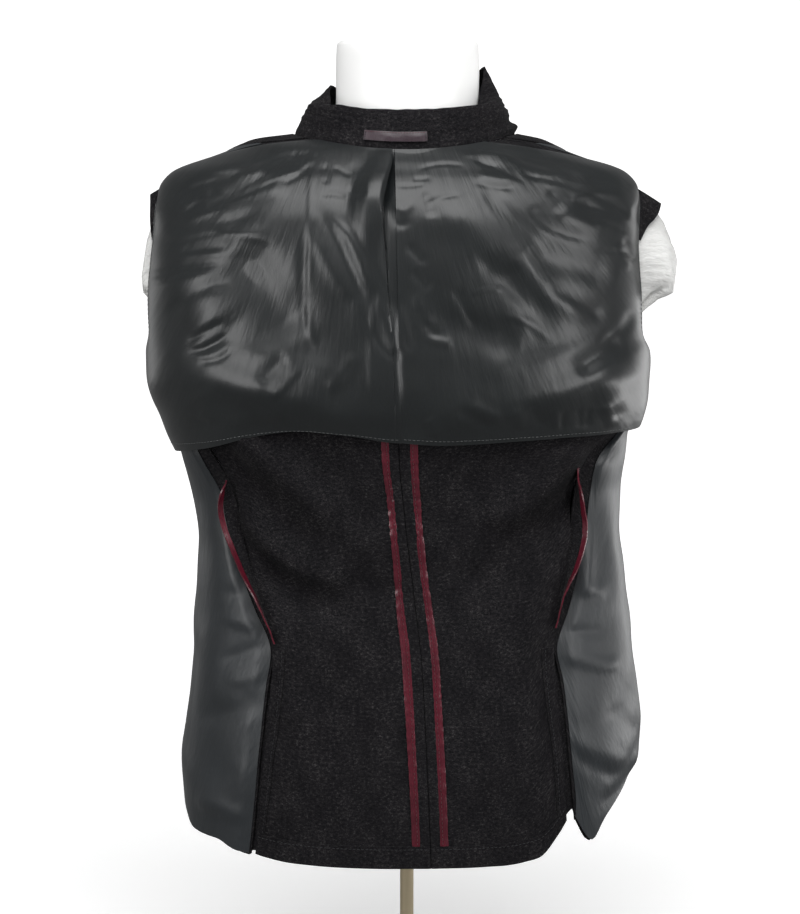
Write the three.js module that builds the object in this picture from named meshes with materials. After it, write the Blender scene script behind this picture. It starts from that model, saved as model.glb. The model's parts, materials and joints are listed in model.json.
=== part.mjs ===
// A half-lined suit jacket turned inside out on a headless, limbless torso form.
// Millimetres, +Z up. The origin is the centre of the base's underside, on the pole's axis.
// The wearer faces +Y, so the back of the jacket is on the -Y side and +X is the wearer's right.
//
// Every cloth panel is a patch of one body surface. A place on it is a bearing and a height:
// bearing 0 is the centre back, +90 the right side, -90 the left side and 180 the centre front.
import * as THREE from 'three';

// ---------------------------------------------------------------- sizes
const WOOL = 2.0; // thickness of the body cloth
const SATIN = 1.0; // thickness of the lining cloth
const BINDING = 1.5; // thickness of a bound edge
const GAP = 0.3; // clearance where two pieces meet
const EDGE_SHY = 1.2; // how far the linings stop short of an armhole's edge
const SEAM = GAP / 2; // how far each of two seamed pieces stands back

const HEM = 200; // height of the centre back hem above the surface
const HEM_TURN = 24; // turned-up hem
const VENT_TOP = 425; // height where the side vents end
const ARMPIT = 715; // lowest point of an armhole
const CORNER = 750; // height where side seams run into the armhole
const SHOULDER_TIP = 905; // top of an armhole
const NECK = 957; // height of the neck seam at the sides

const ALLOWANCE = 10.5; // plain width of a pressed-open seam allowance
const BOUND = 18.5; // the same to the outer edge of its binding
const VENT_FACING = 14;
const UNDERLAP = 26; // how far the side's vent extension reaches under the back panel
const DEG = Math.PI / 180;

const INK = { wool: 0x2b2b2e, satin: 0x4a4f50, binding: 0x6e1f30, ivory: 0xe6e4dc, form: 0xf0eee8 };
const METAL = { brass: 0xcdbb8c, button: 0x1d1a1a };

const material = (color, roughness, metalness = 0) =>
  new THREE.MeshStandardMaterial({ color, roughness, metalness });
const woolCloth = material(INK.wool, 0.95);
const satinCloth = material(INK.satin, 0.35);
const bindingCloth = material(INK.binding, 0.4);
const sleeveCloth = material(INK.ivory, 0.5);
const formCover = material(INK.form, 0.6);
const brass = material(METAL.brass, 0.35, 0.9);
const horn = material(METAL.button, 0.3);

// ---------------------------------------------------------------- tables
// A table is a list of rows with named columns, read between its rows along a smooth curve.
function table(columns, rows) {
  return rows.map((row) => Object.fromEntries(columns.map((name, i) => [name, row[i]])));
}

function slope(rows, i, key, by) {
  const a = rows[Math.max(i - 1, 0)];
  const b = rows[Math.min(i + 1, rows.length - 1)];
  return (b[key] - a[key]) / (b[by] - a[by]);
}

function read(rows, at, key, by = 'z') {
  const last = rows.length - 1;
  if (at <= rows[0][by]) return rows[0][key];
  if (at >= rows[last][by]) return rows[last][key];
  let i = 0;
  while (rows[i + 1][by] < at) i += 1;
  const span = rows[i + 1][by] - rows[i][by];
  const t = (at - rows[i][by]) / span;
  const start = slope(rows, i, key, by) * span;
  const end = slope(rows, i + 1, key, by) * span;
  return (2 * t ** 3 - 3 * t ** 2 + 1) * rows[i][key] + (t ** 3 - 2 * t ** 2 + t) * start
    + (3 * t ** 2 - 2 * t ** 3) * rows[i + 1][key] + (t ** 3 - t ** 2) * end;
}

// The body: half widths to each side, half depths to the back and the front, the roundness of the
// loop (2 is an ellipse) and how far it dips below its sides at the centre back and front.
const BODY = table(['z', 'left', 'right', 'back', 'front', 'round', 'dipBack', 'dipFront'], [
  [200, 241, 250, 138, 118, 1.95, 0, 0],
  [260, 243, 252, 137, 118, 1.95, 0, 0],
  [320, 236, 248, 132, 116, 2.0, 0, 0],
  [425, 227, 238, 116, 110, 2.1, 0, 0],
  [500, 221, 229, 106, 106, 2.2, 0, 0],
  [560, 222, 223, 107, 108, 2.2, 0, 0],
  [620, 238, 231, 115, 116, 2.2, 0, 0],
  [660, 249, 238, 122, 121, 2.2, 0, 0],
  [705, 262, 243, 129, 125, 2.2, 0, 0],
  [750, 269, 246, 132, 126, 2.2, 0, 0],
  [800, 271, 247, 133, 124, 2.2, 0, 1],
  [840, 269, 247, 130, 118, 2.15, 0, 4],
  [870, 267, 247, 125, 112, 2.1, 1, 9],
  [890, 263, 245, 119, 106, 2.05, 3, 16],
  [905, 258, 240, 113, 101, 2.0, 6, 24],
  [918, 246, 227, 107, 95, 2.0, 9, 32],
  [930, 216, 195, 101, 89, 2.0, 12, 40],
  [941, 187, 166, 96, 83, 2.0, 14, 46],
  [950, 166, 147, 91, 79, 2.0, 15.5, 51],
  [957, 121, 116, 87, 76, 2.0, 16, 55],
]);

// How far the hem rides up, by bearing. It fades out towards the waist.
const HEM_LIFT = table(['bearing', 'lift'], [
  [-180, 8], [-140, 20], [-110, 44], [-90, 46], [-80, 30], [-71, 13], [-55, 11], [-48, 2],
  [-46, -1], [-43, 5], [-36, 0], [-20, -1], [0, 0], [26, -1], [32, 2], [36, 7], [39, 20],
  [42, 38], [45.5, 50], [48.5, 1], [54, 15], [61, 33], [68, 55], [74, 73], [80, 90],
  [92, 96], [110, 88], [140, 40], [180, 8],
]);
const LIFT_TOP = 420;

// The largest folds of the body cloth: a soft line across and up from one point to another, with
// its height above the panel (negative is a trough) and its half width.
const BODY_FOLDS = table(['x1', 'z1', 'x2', 'z2', 'high', 'wide'], [
  [-205, 585, -130, 505, -7, 28],
  [-120, 500, -20, 455, -4, 28],
  [-190, 640, -90, 560, 4, 30],
  [185, 600, 120, 545, -6, 28],
  [90, 500, 30, 470, -3, 28],
]);

// Seam lines: how far across the centre back seam and the back side seams lie.
const SEAMS = table(['z', 'centre', 'left', 'right'], [
  [200, 25, -160, 168],
  [300, 21, -150, 163],
  [425, 14, -140, 154],
  [465, 9, -152, 161],
  [500, 5, -162, 167],
  [540, 0, -170, 172],
  [580, -4, -178, 175],
  [620, -8, -200, 184],
  [660, -9, -224, 228],
  [705, -10, -248, 232],
  [750, -11, -259, 238],
  [957, -13, -259, 238],
]);
const LINING_SEAM = table(['z', 'centre'], [[640, -4], [760, -9], [957, -13]]);

// Bearings of the armhole's two edges and of the shoulder seam above it, which lies on the back
// of the ridge near the neck.
const ARMHOLE = table(['z', 'leftBack', 'leftFront', 'rightBack', 'rightFront'], [
  [750, 78, 112, 76, 112],
  [795, 80, 112, 76, 112],
  [835, 80, 110, 75, 110],
  [870, 81, 106, 78, 106],
  [890, 84, 99, 83, 99],
  [905, 90, 90, 90, 90],
]);
const SHOULDER_SEAM = table(['z', 'bearing'], [
  [905, 90], [918, 88], [930, 83], [941, 74], [950, 65], [957, 58],
]);
const FRONT_SIDE_SEAM = table(['z', 'bearing'], [[200, 122], [560, 118], [750, 112]]);
const FACING_EDGE = table(['z', 'bearing'], [
  [200, 148], [300, 155], [705, 158], [835, 152], [890, 142], [918, 126], [930, 110], [941, 88],
  [950, 69], [957, 61],
]);
// Half the distance between the two front edges, wide at the cutaway hem.
const FRONT_EDGE = table(['z', 'half'], [
  [200, 88], [224, 62], [262, 42], [300, 31], [345, 23], [425, 16], [620, 11], [957, 10],
]);

const HEIGHTS = [
  200, 224, 262, 300, 342, 384, 425, 463, 500, 540, 580, 620, 660, 705, 750, 795, 835, 870,
  890, 905, 918, 930, 941, 950, 957,
];
const SHOULDER_ROW = HEIGHTS.indexOf(SHOULDER_TIP);
const CORNER_ROW = HEIGHTS.indexOf(CORNER);
const VENT_ROW = HEIGHTS.indexOf(VENT_TOP);

// ---------------------------------------------------------------- the body surface
const power = (value, exponent) => Math.sign(value) * Math.abs(value) ** exponent;
const mix = (a, b, t) => a + (b - a) * t;

// Reads a table along straight lines between its rows.
function readStraight(rows, at, key, by) {
  let i = 0;
  while (i < rows.length - 2 && rows[i + 1][by] < at) i += 1;
  const t = (at - rows[i][by]) / (rows[i + 1][by] - rows[i][by]);
  return mix(rows[i][key], rows[i + 1][key], Math.min(Math.max(t, 0), 1));
}

function foldHeight(folds, x, z) {
  let sum = 0;
  for (const f of folds) {
    const dx = f.x2 - f.x1;
    const dz = f.z2 - f.z1;
    const along = ((x - f.x1) * dx + (z - f.z1) * dz) / (dx * dx + dz * dz);
    const t = Math.min(Math.max(along, 0), 1);
    const away = Math.hypot(x - f.x1 - t * dx, z - f.z1 - t * dz);
    sum += f.high * Math.exp(-((away / f.wide) ** 2));
  }
  return sum;
}

function loopPoint(rows, bearing, z) {
  const side = Math.sin(bearing * DEG);
  const along = Math.cos(bearing * DEG);
  const isBack = along > 0;
  const exponent = 2 / read(rows, z, 'round');
  const half = read(rows, z, side < 0 ? 'left' : 'right');
  const depth = read(rows, z, isBack ? 'back' : 'front');
  const dip = read(rows, z, isBack ? 'dipBack' : 'dipFront') * along ** 2;
  return new THREE.Vector3(half * power(side, exponent), -depth * power(along, exponent), z - dip);
}

function bodyPoint(bearing, z) {
  const turn = bearing > 180 ? bearing - 360 : bearing;
  const fade = Math.max(0, (LIFT_TOP - z) / (LIFT_TOP - HEM));
  const lift = readStraight(HEM_LIFT, turn, 'lift', 'bearing') * fade;
  const point = loopPoint(BODY, turn, z);
  point.z += lift;
  if (Math.abs(turn) < 90) point.y -= foldHeight(BODY_FOLDS, point.x, point.z);
  return point;
}

function bodyPlace(bearing, z) {
  const step = 0.6;
  const low = Math.max(z - step, HEM);
  const high = Math.min(z + step, NECK);
  const across = bodyPoint(bearing + step, z).sub(bodyPoint(bearing - step, z));
  const up = bodyPoint(bearing, high).sub(bodyPoint(bearing, low));
  return { point: bodyPoint(bearing, z), normal: across.cross(up).normalize() };
}

// The bearing of a point on the back of the body that lies x across, and of one on its front.
function backBearing(x, z) {
  const half = read(BODY, z, x < 0 ? 'left' : 'right');
  const share = Math.min(Math.abs(x) / half, 1) ** (read(BODY, z, 'round') / 2);
  return Math.sign(x) * Math.asin(share) / DEG;
}
const frontBearing = (side, half, z) => side * (180 - Math.abs(backBearing(side * half, z)));

// A bearing moved along its loop by a distance.
function along(bearing, z, distance) {
  const reach = bodyPoint(bearing + 1, z).distanceTo(bodyPoint(bearing - 1, z)) / 2;
  return bearing + distance / reach;
}

const moved = (place, out) => place.point.clone().addScaledVector(place.normal, out);

// ---------------------------------------------------------------- walls
// A wall's grid is a list of rows of places, each a point and its normal.
function geometryFrom(points, triangles) {
  const position = new Float32Array(points.flatMap((p) => [p.x, p.y, p.z]));
  const geometry = new THREE.BufferGeometry();
  geometry.setAttribute('position', new THREE.BufferAttribute(position, 3));
  geometry.setIndex(triangles);
  geometry.computeVertexNormals();
  return geometry;
}

// A closed wall between two distances from its grid, low and high, along the normals.
function wall(grid, low, high, closed = false) {
  const rows = grid.length;
  const columns = grid[0].length;
  const points = [high, low].flatMap((out) => grid.flat().map((place) => moved(place, out)));
  const outer = (j, i) => j * columns + (i % columns);
  const inner = (j, i) => rows * columns + outer(j, i);
  const triangles = [];
  const quad = (a, b, c, d) => triangles.push(a, b, c, a, c, d);
  const reach = (j, i, k, l) => grid[j][i % columns].point.distanceTo(grid[k][l % columns].point);
  const spans = closed ? columns : columns - 1;
  for (let j = 0; j < rows - 1; j += 1) {
    for (let i = 0; i < spans; i += 1) {
      // Each square is split along its shorter diagonal, which follows the folds.
      if (reach(j, i, j + 1, i + 1) <= reach(j, i + 1, j + 1, i)) {
        quad(outer(j, i), outer(j, i + 1), outer(j + 1, i + 1), outer(j + 1, i));
        quad(inner(j, i), inner(j + 1, i), inner(j + 1, i + 1), inner(j, i + 1));
      } else {
        quad(outer(j, i + 1), outer(j + 1, i + 1), outer(j + 1, i), outer(j, i));
        quad(inner(j, i + 1), inner(j, i), inner(j + 1, i), inner(j + 1, i + 1));
      }
    }
    if (!closed) {
      quad(inner(j, 0), outer(j, 0), outer(j + 1, 0), inner(j + 1, 0));
      const end = columns - 1;
      quad(outer(j, end), inner(j, end), inner(j + 1, end), outer(j + 1, end));
    }
  }
  for (let i = 0; i < spans; i += 1) {
    const top = rows - 1;
    quad(inner(0, i), inner(0, i + 1), outer(0, i + 1), outer(0, i));
    quad(outer(top, i), outer(top, i + 1), inner(top, i + 1), inner(top, i));
  }
  return geometryFrom(points, triangles);
}

// A solid through a stack of closed rings, with a flat cap at each end.
function stack(rings) {
  const count = rings[0].length;
  const points = rings.flat();
  const triangles = [];
  for (let j = 0; j < rings.length - 1; j += 1) {
    for (let i = 0; i < count; i += 1) {
      const a = j * count + i;
      const b = j * count + ((i + 1) % count);
      triangles.push(a, b, b + count, a, b + count, a + count);
    }
  }
  for (const [ring, faceUp] of [[0, false], [rings.length - 1, true]]) {
    const centre = new THREE.Vector3();
    rings[ring].forEach((p) => centre.addScaledVector(p, 1 / count));
    points.push(centre);
    for (let i = 0; i < count; i += 1) {
      const a = ring * count + i;
      const b = ring * count + ((i + 1) % count);
      triangles.push(points.length - 1, ...(faceUp ? [a, b] : [b, a]));
    }
  }
  return geometryFrom(points, triangles);
}

// Gives each point of a grid the normal of the surface through its neighbours.
function withNormals(points, closed = false) {
  const rows = points.length;
  const columns = points[0].length;
  return points.map((row, j) => row.map((point, i) => {
    const before = closed ? (i + columns - 1) % columns : Math.max(i - 1, 0);
    const after = closed ? (i + 1) % columns : Math.min(i + 1, columns - 1);
    const across = row[after].clone().sub(row[before]);
    const up = points[Math.min(j + 1, rows - 1)][i].clone().sub(points[Math.max(j - 1, 0)][i]);
    return { point, normal: across.cross(up).normalize() };
  }));
}

// Part of a grid, from one row and column to another.
const block = (grid, rows, columns) =>
  grid.slice(rows[0], rows[1] + 1).map((row) => row.slice(columns[0], columns[1] + 1));

// Moves the outermost places of a grid towards their neighbours, so that pieces clear each other.
function trimmed(grid, by) {
  const toward = (a, b, distance) => {
    const step = b.point.clone().sub(a.point).setLength(distance);
    return { point: a.point.clone().add(step), normal: a.normal };
  };
  const cut = grid.map((row) => {
    const end = row.length - 1;
    const made = row.slice();
    if (by.first) made[0] = toward(row[0], row[1], by.first);
    if (by.last) made[end] = toward(row[end], row[end - 1], by.last);
    return made;
  });
  const top = cut.length - 1;
  if (by.bottom) cut[0] = cut[0].map((place, i) => toward(place, cut[1][i], by.bottom));
  if (by.top) cut[top] = cut[top].map((place, i) => toward(place, cut[top - 1][i], by.top));
  return cut;
}
const allRound = (by) => ({ first: by, last: by, bottom: by, top: by });

const jacket = new THREE.Group();
function add(name, geometry, finish) {
  const mesh = new THREE.Mesh(geometry, finish);
  mesh.name = name;
  jacket.add(mesh);
  return mesh;
}

const SIDES = [['left', -1], ['right', 1]];

// A grid of the body surface whose columns run from a low to a high bearing on either side.
function bodyGrid(side, heights, columnsAt) {
  return heights.map((z) => {
    const bearings = columnsAt(z).map((bearing) => side * bearing);
    if (side < 0) bearings.reverse();
    return bearings.map((bearing) => bodyPlace(bearing, z));
  });
}
// The same block of columns, counted from the centre back on both sides.
const columnsOf = (grid, side, from, to) => {
  const end = grid[0].length - 1;
  return side < 0 ? [end - to, end - from] : [from, to];
};
const trimOf = (side, near, far, rest = {}) =>
  (side < 0 ? { first: far, last: near, ...rest } : { first: near, last: far, ...rest });

// ---------------------------------------------------------------- edges of the panels
const sideName = (side) => (side < 0 ? 'left' : 'right');
const backSeam = (side, z) => Math.abs(backBearing(read(SEAMS, z, sideName(side)), z));
const armholeEdge = (side, z, edge) => read(ARMHOLE, z, sideName(side) + edge);

function backEdge(side, z) {
  if (z < CORNER) return backSeam(side, z);
  if (z < SHOULDER_TIP) return armholeEdge(side, z, 'Back');
  return read(SHOULDER_SEAM, z, 'bearing');
}
function frontSideEdge(side, z) {
  if (z < CORNER) return read(FRONT_SIDE_SEAM, z, 'bearing');
  if (z < SHOULDER_TIP) return armholeEdge(side, z, 'Front');
  return read(SHOULDER_SEAM, z, 'bearing');
}

// ---------------------------------------------------------------- back panels and their seam
const BACK_SPANS = 6; // columns between the centre seam's binding and the vent facing
// How far a vent stands open.
const VENT_GAP = table(['z', 'left', 'right'], [
  [200, 10, 15], [300, 7.5, 9.5], [384, 4.5, 6], [425, GAP, GAP],
]);

function buildBack(name, side) {
  const grid = bodyGrid(side, HEIGHTS, (z) => {
    const centre = side * backBearing(read(SEAMS, z, 'centre'), z);
    const near = along(centre, z, ALLOWANCE);
    const bound = along(centre, z, BOUND);
    const edge = backEdge(side, z);
    const facing = along(edge, z, -VENT_FACING);
    const middle = [];
    for (let i = 1; i < BACK_SPANS; i += 1) middle.push(mix(bound, facing, i / BACK_SPANS));
    return [centre, near, bound, ...middle, facing, edge];
  });
  const lastColumn = grid[0].length - 1;
  const on = (rows, from, to) => block(grid, rows, columnsOf(grid, side, from, to));
  const seamTop = HEIGHTS.indexOf(705);

  add(`back_${name}`, wall(trimmed(grid, trimOf(side, SEAM, SEAM, { top: SEAM })), -WOOL, 0), woolCloth);

  const allowance = trimmed(on([1, seamTop], 0, 1), trimOf(side, SEAM, SEAM, { bottom: GAP }));
  add(`centre_allowance_${name}`, wall(allowance, GAP, GAP + 1.2), woolCloth);
  const binding = trimmed(on([1, seamTop], 1, 2), trimOf(side, SEAM, SEAM, { bottom: GAP }));
  add(`centre_binding_${name}`, wall(binding, GAP, GAP + BINDING), bindingCloth);

  const hem = trimmed(on([0, 1], 0, lastColumn), trimOf(side, SEAM, SEAM));
  add(`hem_facing_${name}`, wall(hem, GAP, GAP + 1.2), woolCloth);
  const vent = trimmed(on([1, VENT_ROW], lastColumn - 1, lastColumn), trimOf(side, 0, SEAM, { bottom: GAP }));
  add(`vent_facing_${name}`, wall(vent, GAP, GAP + 1.2), woolCloth);
}

// ---------------------------------------------------------------- side panels and their lining
const SIDE_SPANS = 6;
// How much wool shows between the seam or vent edge and the lining.
const LINING_MARGIN = table(['z', 'wide'], [
  [200, 3.5], [425, 3.5], [463, 10], [500, 15], [560, 20], [750, 20],
]);

function armholeBottom(bearing, side) {
  const edge = bearing < 90 ? armholeEdge(side, CORNER, 'Back') : armholeEdge(side, CORNER, 'Front');
  return ARMPIT + (CORNER - ARMPIT) * ((bearing - 90) / (edge - 90)) ** 2;
}

// The side panel's edge towards the back: at its seam, and apart from it along the vent.
const ventEdge = (side, z) =>
  along(backSeam(side, z), z, z < VENT_TOP ? read(VENT_GAP, z, sideName(side)) : 0);

function sideColumns(side, z) {
  const edge = ventEdge(side, z);
  const lined = along(edge, z, read(LINING_MARGIN, z, 'wide'));
  const seam = read(FRONT_SIDE_SEAM, z, 'bearing');
  const middle = [];
  for (let i = 1; i < SIDE_SPANS; i += 1) middle.push(mix(lined, seam, i / SIDE_SPANS));
  return [edge, lined, ...middle, seam];
}

function sideTopRow(side) {
  const from = armholeEdge(side, CORNER, 'Back');
  const to = armholeEdge(side, CORNER, 'Front');
  const shares = [0, 0.12, 0.27, 0.42, 0.57, 0.71, 0.86, 1];
  const bearings = shares.map((share) => mix(from, to, share));
  const places = bearings.map((b) => bodyPlace(side * b, armholeBottom(b, side)));
  return side < 0 ? places.reverse() : places;
}

function buildSide(name, side) {
  const heights = HEIGHTS.slice(0, CORNER_ROW);
  const grid = bodyGrid(side, heights, (z) => sideColumns(side, z));
  grid.push(sideTopRow(side));
  const last = grid[0].length - 1;
  add(`side_${name}`, wall(trimmed(grid, trimOf(side, SEAM, SEAM)), -WOOL, 0), woolCloth);
  const lining = block(grid, [0, grid.length - 1], columnsOf(grid, side, 1, last));
  const clear = trimOf(side, 0, SEAM, { bottom: 2, top: SEAM });
  add(`side_lining_${name}`, wall(trimmed(lining, clear), GAP, GAP + SATIN), satinCloth);

  const laps = bodyGrid(side, heights.slice(0, VENT_ROW + 1), (z) => {
    const edge = ventEdge(side, z);
    return [-UNDERLAP, -UNDERLAP / 2, 0, 6].map((distance) => along(edge, z, distance));
  });
  const below = -WOOL - 3 * GAP;
  const lap = trimmed(laps, { bottom: 5 });
  add(`vent_underlap_${name}`, wall(lap, below - 1.6, below), woolCloth);
}

// The side seam's allowance isn't pressed: it stands out from the seam like a fin, and leans to
// the side, with its edge bound.
const FIN = {
  left: table(['z', 'wide', 'lean'], [
    [430, 5, 20], [463, 8, 28], [500, 12, 38], [540, 17, 46], [570, 13, 28],
    [590, 7, 14],
  ]),
  right: table(['z', 'wide', 'lean'], [
    [446, 5, 20], [480, 10, 38], [510, 13, 46], [545, 10, 28], [580, 11, 36], [602, 8, 8],
    [620, 5, 0],
  ]),
};
const FIN_ROWS = 10;
const FIN_BINDING = 5.5; // width of the fin's bound edge

function buildFin(name, side) {
  const rows = FIN[name];
  const from = rows[0].z;
  const to = rows[rows.length - 1].z;
  const inner = [];
  const outer = [];
  for (let j = 0; j <= FIN_ROWS; j += 1) {
    const z = mix(from, to, j / FIN_ROWS);
    const bearing = side * backSeam(side, z);
    const place = bodyPlace(bearing, z);
    const sideways = bodyPoint(bearing + side, z).sub(place.point).normalize();
    const lean = read(rows, z, 'lean') * DEG;
    const direction = place.normal.clone().multiplyScalar(Math.cos(lean))
      .addScaledVector(sideways, Math.sin(lean)).normalize();
    const wide = read(rows, z, 'wide');
    const at = (distance) => place.point.clone().addScaledVector(direction, distance);
    const root = 3;
    inner.push(side > 0 ? [at(root), at(wide)] : [at(wide), at(root)]);
    outer.push(side > 0
      ? [at(wide + 2 * GAP), at(wide + FIN_BINDING)]
      : [at(wide + FIN_BINDING), at(wide + 2 * GAP)]);
  }
  add(`side_allowance_${name}`, wall(withNormals(inner), -0.6, 0.6), woolCloth);
  add(`side_binding_${name}`, wall(withNormals(outer), -0.75, 0.75), bindingCloth);
}

// ---------------------------------------------------------------- fronts, facings, front linings
const FRONT_SPANS = 4; // columns of the front under its lining
const FACING_SPANS = 6; // columns under the facing

function buildFront(name, side) {
  const grid = bodyGrid(side, HEIGHTS, (z) => {
    const seam = frontSideEdge(side, z);
    const facing = read(FACING_EDGE, z, 'bearing');
    const edge = Math.abs(frontBearing(side, read(FRONT_EDGE, z, 'half'), z));
    const columns = [];
    for (let i = 0; i < FRONT_SPANS; i += 1) columns.push(mix(seam, facing, i / FRONT_SPANS));
    for (let i = 0; i <= FACING_SPANS; i += 1) {
      columns.push(mix(facing, edge, (i / FACING_SPANS) ** 1.3));
    }
    return columns;
  });
  const end = grid[0].length - 1;
  const top = HEIGHTS.indexOf(950);
  add(`front_${name}`, wall(trimmed(grid, trimOf(side, SEAM, 0, { top: SEAM })), -WOOL, 0), woolCloth);
  const facing = block(grid, [0, HEIGHTS.length - 1], columnsOf(grid, side, FRONT_SPANS, end));
  const facingTrim = trimOf(side, GAP, 0, { top: SEAM });
  add(`facing_${name}`, wall(trimmed(facing, facingTrim), GAP, GAP + 1.4), woolCloth);
  const lining = block(grid, [0, top], columnsOf(grid, side, 0, FRONT_SPANS));
  const liningTrim = trimOf(side, EDGE_SHY, GAP, { bottom: 6, top: SEAM });
  add(`front_lining_${name}`, wall(trimmed(lining, liningTrim), GAP, GAP + SATIN), satinCloth);
}

// ---------------------------------------------------------------- half lining of the back
// How far the lining stands off the back panels, down the middle and at its outer edges.
const STAND_OFF = table(['z', 'middle', 'edge'], [
  [620, 7, 9], [650, 9, 13], [680, 14, 17], [705, 16, 17], [750, 12, 10], [795, 9, 6],
  [835, 8, 3.5], [870, 7, 2], [905, 6, 1.4], [930, 4.5, 1.4], [950, 2.2, 1.3], [957, 1.3, 1.3],
]);
// The hem of the lining, by distance across.
const LINING_HEM = table(['x', 'z'], [
  [-262, 622], [-215, 634], [-127, 657], [-78, 658], [-7, 647], [40, 645], [114, 648],
  [198, 650], [256, 634],
]);
// A pleat for ease falls from the neck. It lies left of the centre seam: where its roll begins,
// its crest and its dark fold run, and how far crest and fold lie above or below the lining.
const PLEAT = table(['z', 'begins', 'crest', 'fold', 'rise', 'dip'], [
  [640, -40, -21, -14, 1, 0], [705, -47, -25, -18, 3, -1], [750, -55, -31, -23, 6, -2],
  [795, -62, -38, -28, 9, -3], [845, -64, -40, -27, 10, -4], [890, -60, -38, -24, 10, -5],
  [918, -52, -33, -20, 8, -5], [941, -42, -24, -15.5, 4, -1.5], [957, -36, -20, -15, 0.4, 0],
]);
// Broad folds of the lining, as for the body.
const LINING_FOLDS = table(['x1', 'z1', 'x2', 'z2', 'high', 'wide'], [
  [-112, 925, -112, 800, 3, 20],
  [-84, 900, -40, 770, 4, 20],
  [40, 850, 190, 745, -5, 26],
  [70, 885, 215, 790, 5, 26],
  [100, 925, 215, 890, 3, 20],
  [-235, 850, -110, 895, 4, 22],
  [-250, 780, -120, 715, 4, 26],
  [20, 690, 220, 745, 4, 26],
]);
const LINING_HEIGHTS = [
  0, 662, 682, 705, 730, 750, 772, 795, 820, 845, 870, 890, 905, 918, 930, 941, 950, 957,
];
const LINING_SPANS = 12; // columns of each half, outside the pleat
const LINING_SIDE = 87; // bearing of the lining's free edge below the armhole

function liningEdge(side, z) {
  if (z < CORNER) return mix(LINING_SIDE, backEdge(side, CORNER), Math.max(0, (z - 660) / 90) ** 3);
  return backEdge(side, z);
}

// A place on the lining, with its share of the way from the centre seam to the edge.
function liningPoint(bearing, z, share, extra) {
  const place = bodyPlace(bearing, z);
  const rest = mix(read(STAND_OFF, z, 'middle'), read(STAND_OFF, z, 'edge'), share ** 3);
  const folds = foldHeight(LINING_FOLDS, place.point.x, place.point.z) * (1 - share ** 6);
  return moved(place, Math.max(rest + folds + extra, 1.3));
}

// One row of the lining: bearings from the centre seam outwards, each with its added height.
function liningRow(side, z) {
  const centre = Math.abs(backBearing(read(LINING_SEAM, z, 'centre'), z)) * (side < 0 ? 1 : -1);
  const edge = liningEdge(side, z);
  const row = [{ bearing: centre, extra: 0 }];
  let begins = centre;
  if (side < 0) {
    const at = (key) => Math.abs(backBearing(read(PLEAT, z, key), z));
    begins = at('begins');
    row.push({ bearing: at('fold'), extra: read(PLEAT, z, 'dip') });
    row.push({ bearing: at('crest'), extra: read(PLEAT, z, 'rise') });
    row.push({ bearing: mix(at('crest'), begins, 0.45), extra: read(PLEAT, z, 'rise') * 0.6 });
    row.push({ bearing: begins, extra: 0 });
  }
  for (let i = 1; i <= LINING_SPANS; i += 1) {
    row.push({ bearing: mix(begins, edge, i / LINING_SPANS), extra: 0 });
  }
  return row.map(({ bearing, extra }) => ({
    bearing: side * bearing, extra, share: (bearing - centre) / (edge - centre),
  }));
}

function buildBackLining(name, side) {
  const points = LINING_HEIGHTS.map((height) => {
    const made = liningRow(side, height || 650).map(({ bearing, extra, share }) => {
      const z = height || read(LINING_HEM, bodyPoint(bearing, 650).x, 'z', 'x');
      return liningPoint(bearing, z, share, extra);
    });
    return side < 0 ? made.reverse() : made;
  });
  const trim = trimOf(side, SEAM, EDGE_SHY, { top: SEAM });
  add(`back_lining_${name}`, wall(trimmed(withNormals(points), trim), 0, SATIN), satinCloth);
}

// ---------------------------------------------------------------- collar
// The stand rises from the neck seam and the leaf folds over it, into the neck. Towards the front
// the fold opens and the leaf stands up.
const COLLAR_THICK = 2.6;
const FOLD_STEP = 4; // length of each of the two short spans round the fold
const COLLAR = table(['bearing', 'stand', 'root', 'lean', 'fold', 'leaf'], [
  [-146, 30, 4, 6, 4, 22],
  [-125, 33, 10, 20, 8, 30],
  [-104, 33, 18, 30, 12, 26],
  [-90, 32, 24, 28, 22, 22],
  [-78, 33, 24, 24, 48, 18],
  [-68, 34, 22, 18, 90, 16],
  [-56, 36, 20, 16, 134, 20],
  [-36, 39, 16, 14, 155, 25],
  [0, 41, 14, 12, 165, 28],
  [36, 39, 16, 14, 155, 25],
  [56, 37, 20, 16, 134, 20],
  [68, 36, 22, 18, 86, 16],
  [78, 37, 24, 19, 42, 19],
  [90, 38, 24, 18, 12, 29],
  [104, 38, 16, 20, 8, 35],
  [125, 36, 8, 15, 6, 34],
  [146, 31, 4, 6, 4, 24],
]);
const COLLAR_COLUMNS = 30;
const COLLAR_END = 146;

function collarSection(bearing) {
  const place = bodyPlace(bearing, NECK);
  const value = (key) => read(COLLAR, bearing, key, 'bearing');
  const inward = new THREE.Vector3(-place.point.x, -place.point.y * 1.3, 0).normalize();
  const stand = value('stand');
  const lean = value('lean');
  const fold = value('fold');
  const spans = [
    [stand * 0.45, value('root')], [stand * 0.55, lean], [FOLD_STEP, lean + fold / 3],
    [FOLD_STEP, lean + (fold * 2) / 3], [value('leaf') * 0.5, lean + fold],
    [value('leaf') * 0.5, lean + fold],
  ];
  const point = place.point.clone().addScaledVector(inward, 1.7);
  point.z += GAP;
  const section = [point.clone()];
  for (const [length, angle] of spans) {
    point.addScaledVector(inward, length * Math.sin(angle * DEG));
    point.z += length * Math.cos(angle * DEG);
    section.push(point.clone());
  }
  return section;
}

function collarGrid() {
  const sections = [];
  for (let i = 0; i <= COLLAR_COLUMNS; i += 1) {
    sections.push(collarSection(mix(-COLLAR_END, COLLAR_END, i / COLLAR_COLUMNS)));
  }
  return withNormals(sections[0].map((_, j) => sections.map((section) => section[j])));
}

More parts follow.
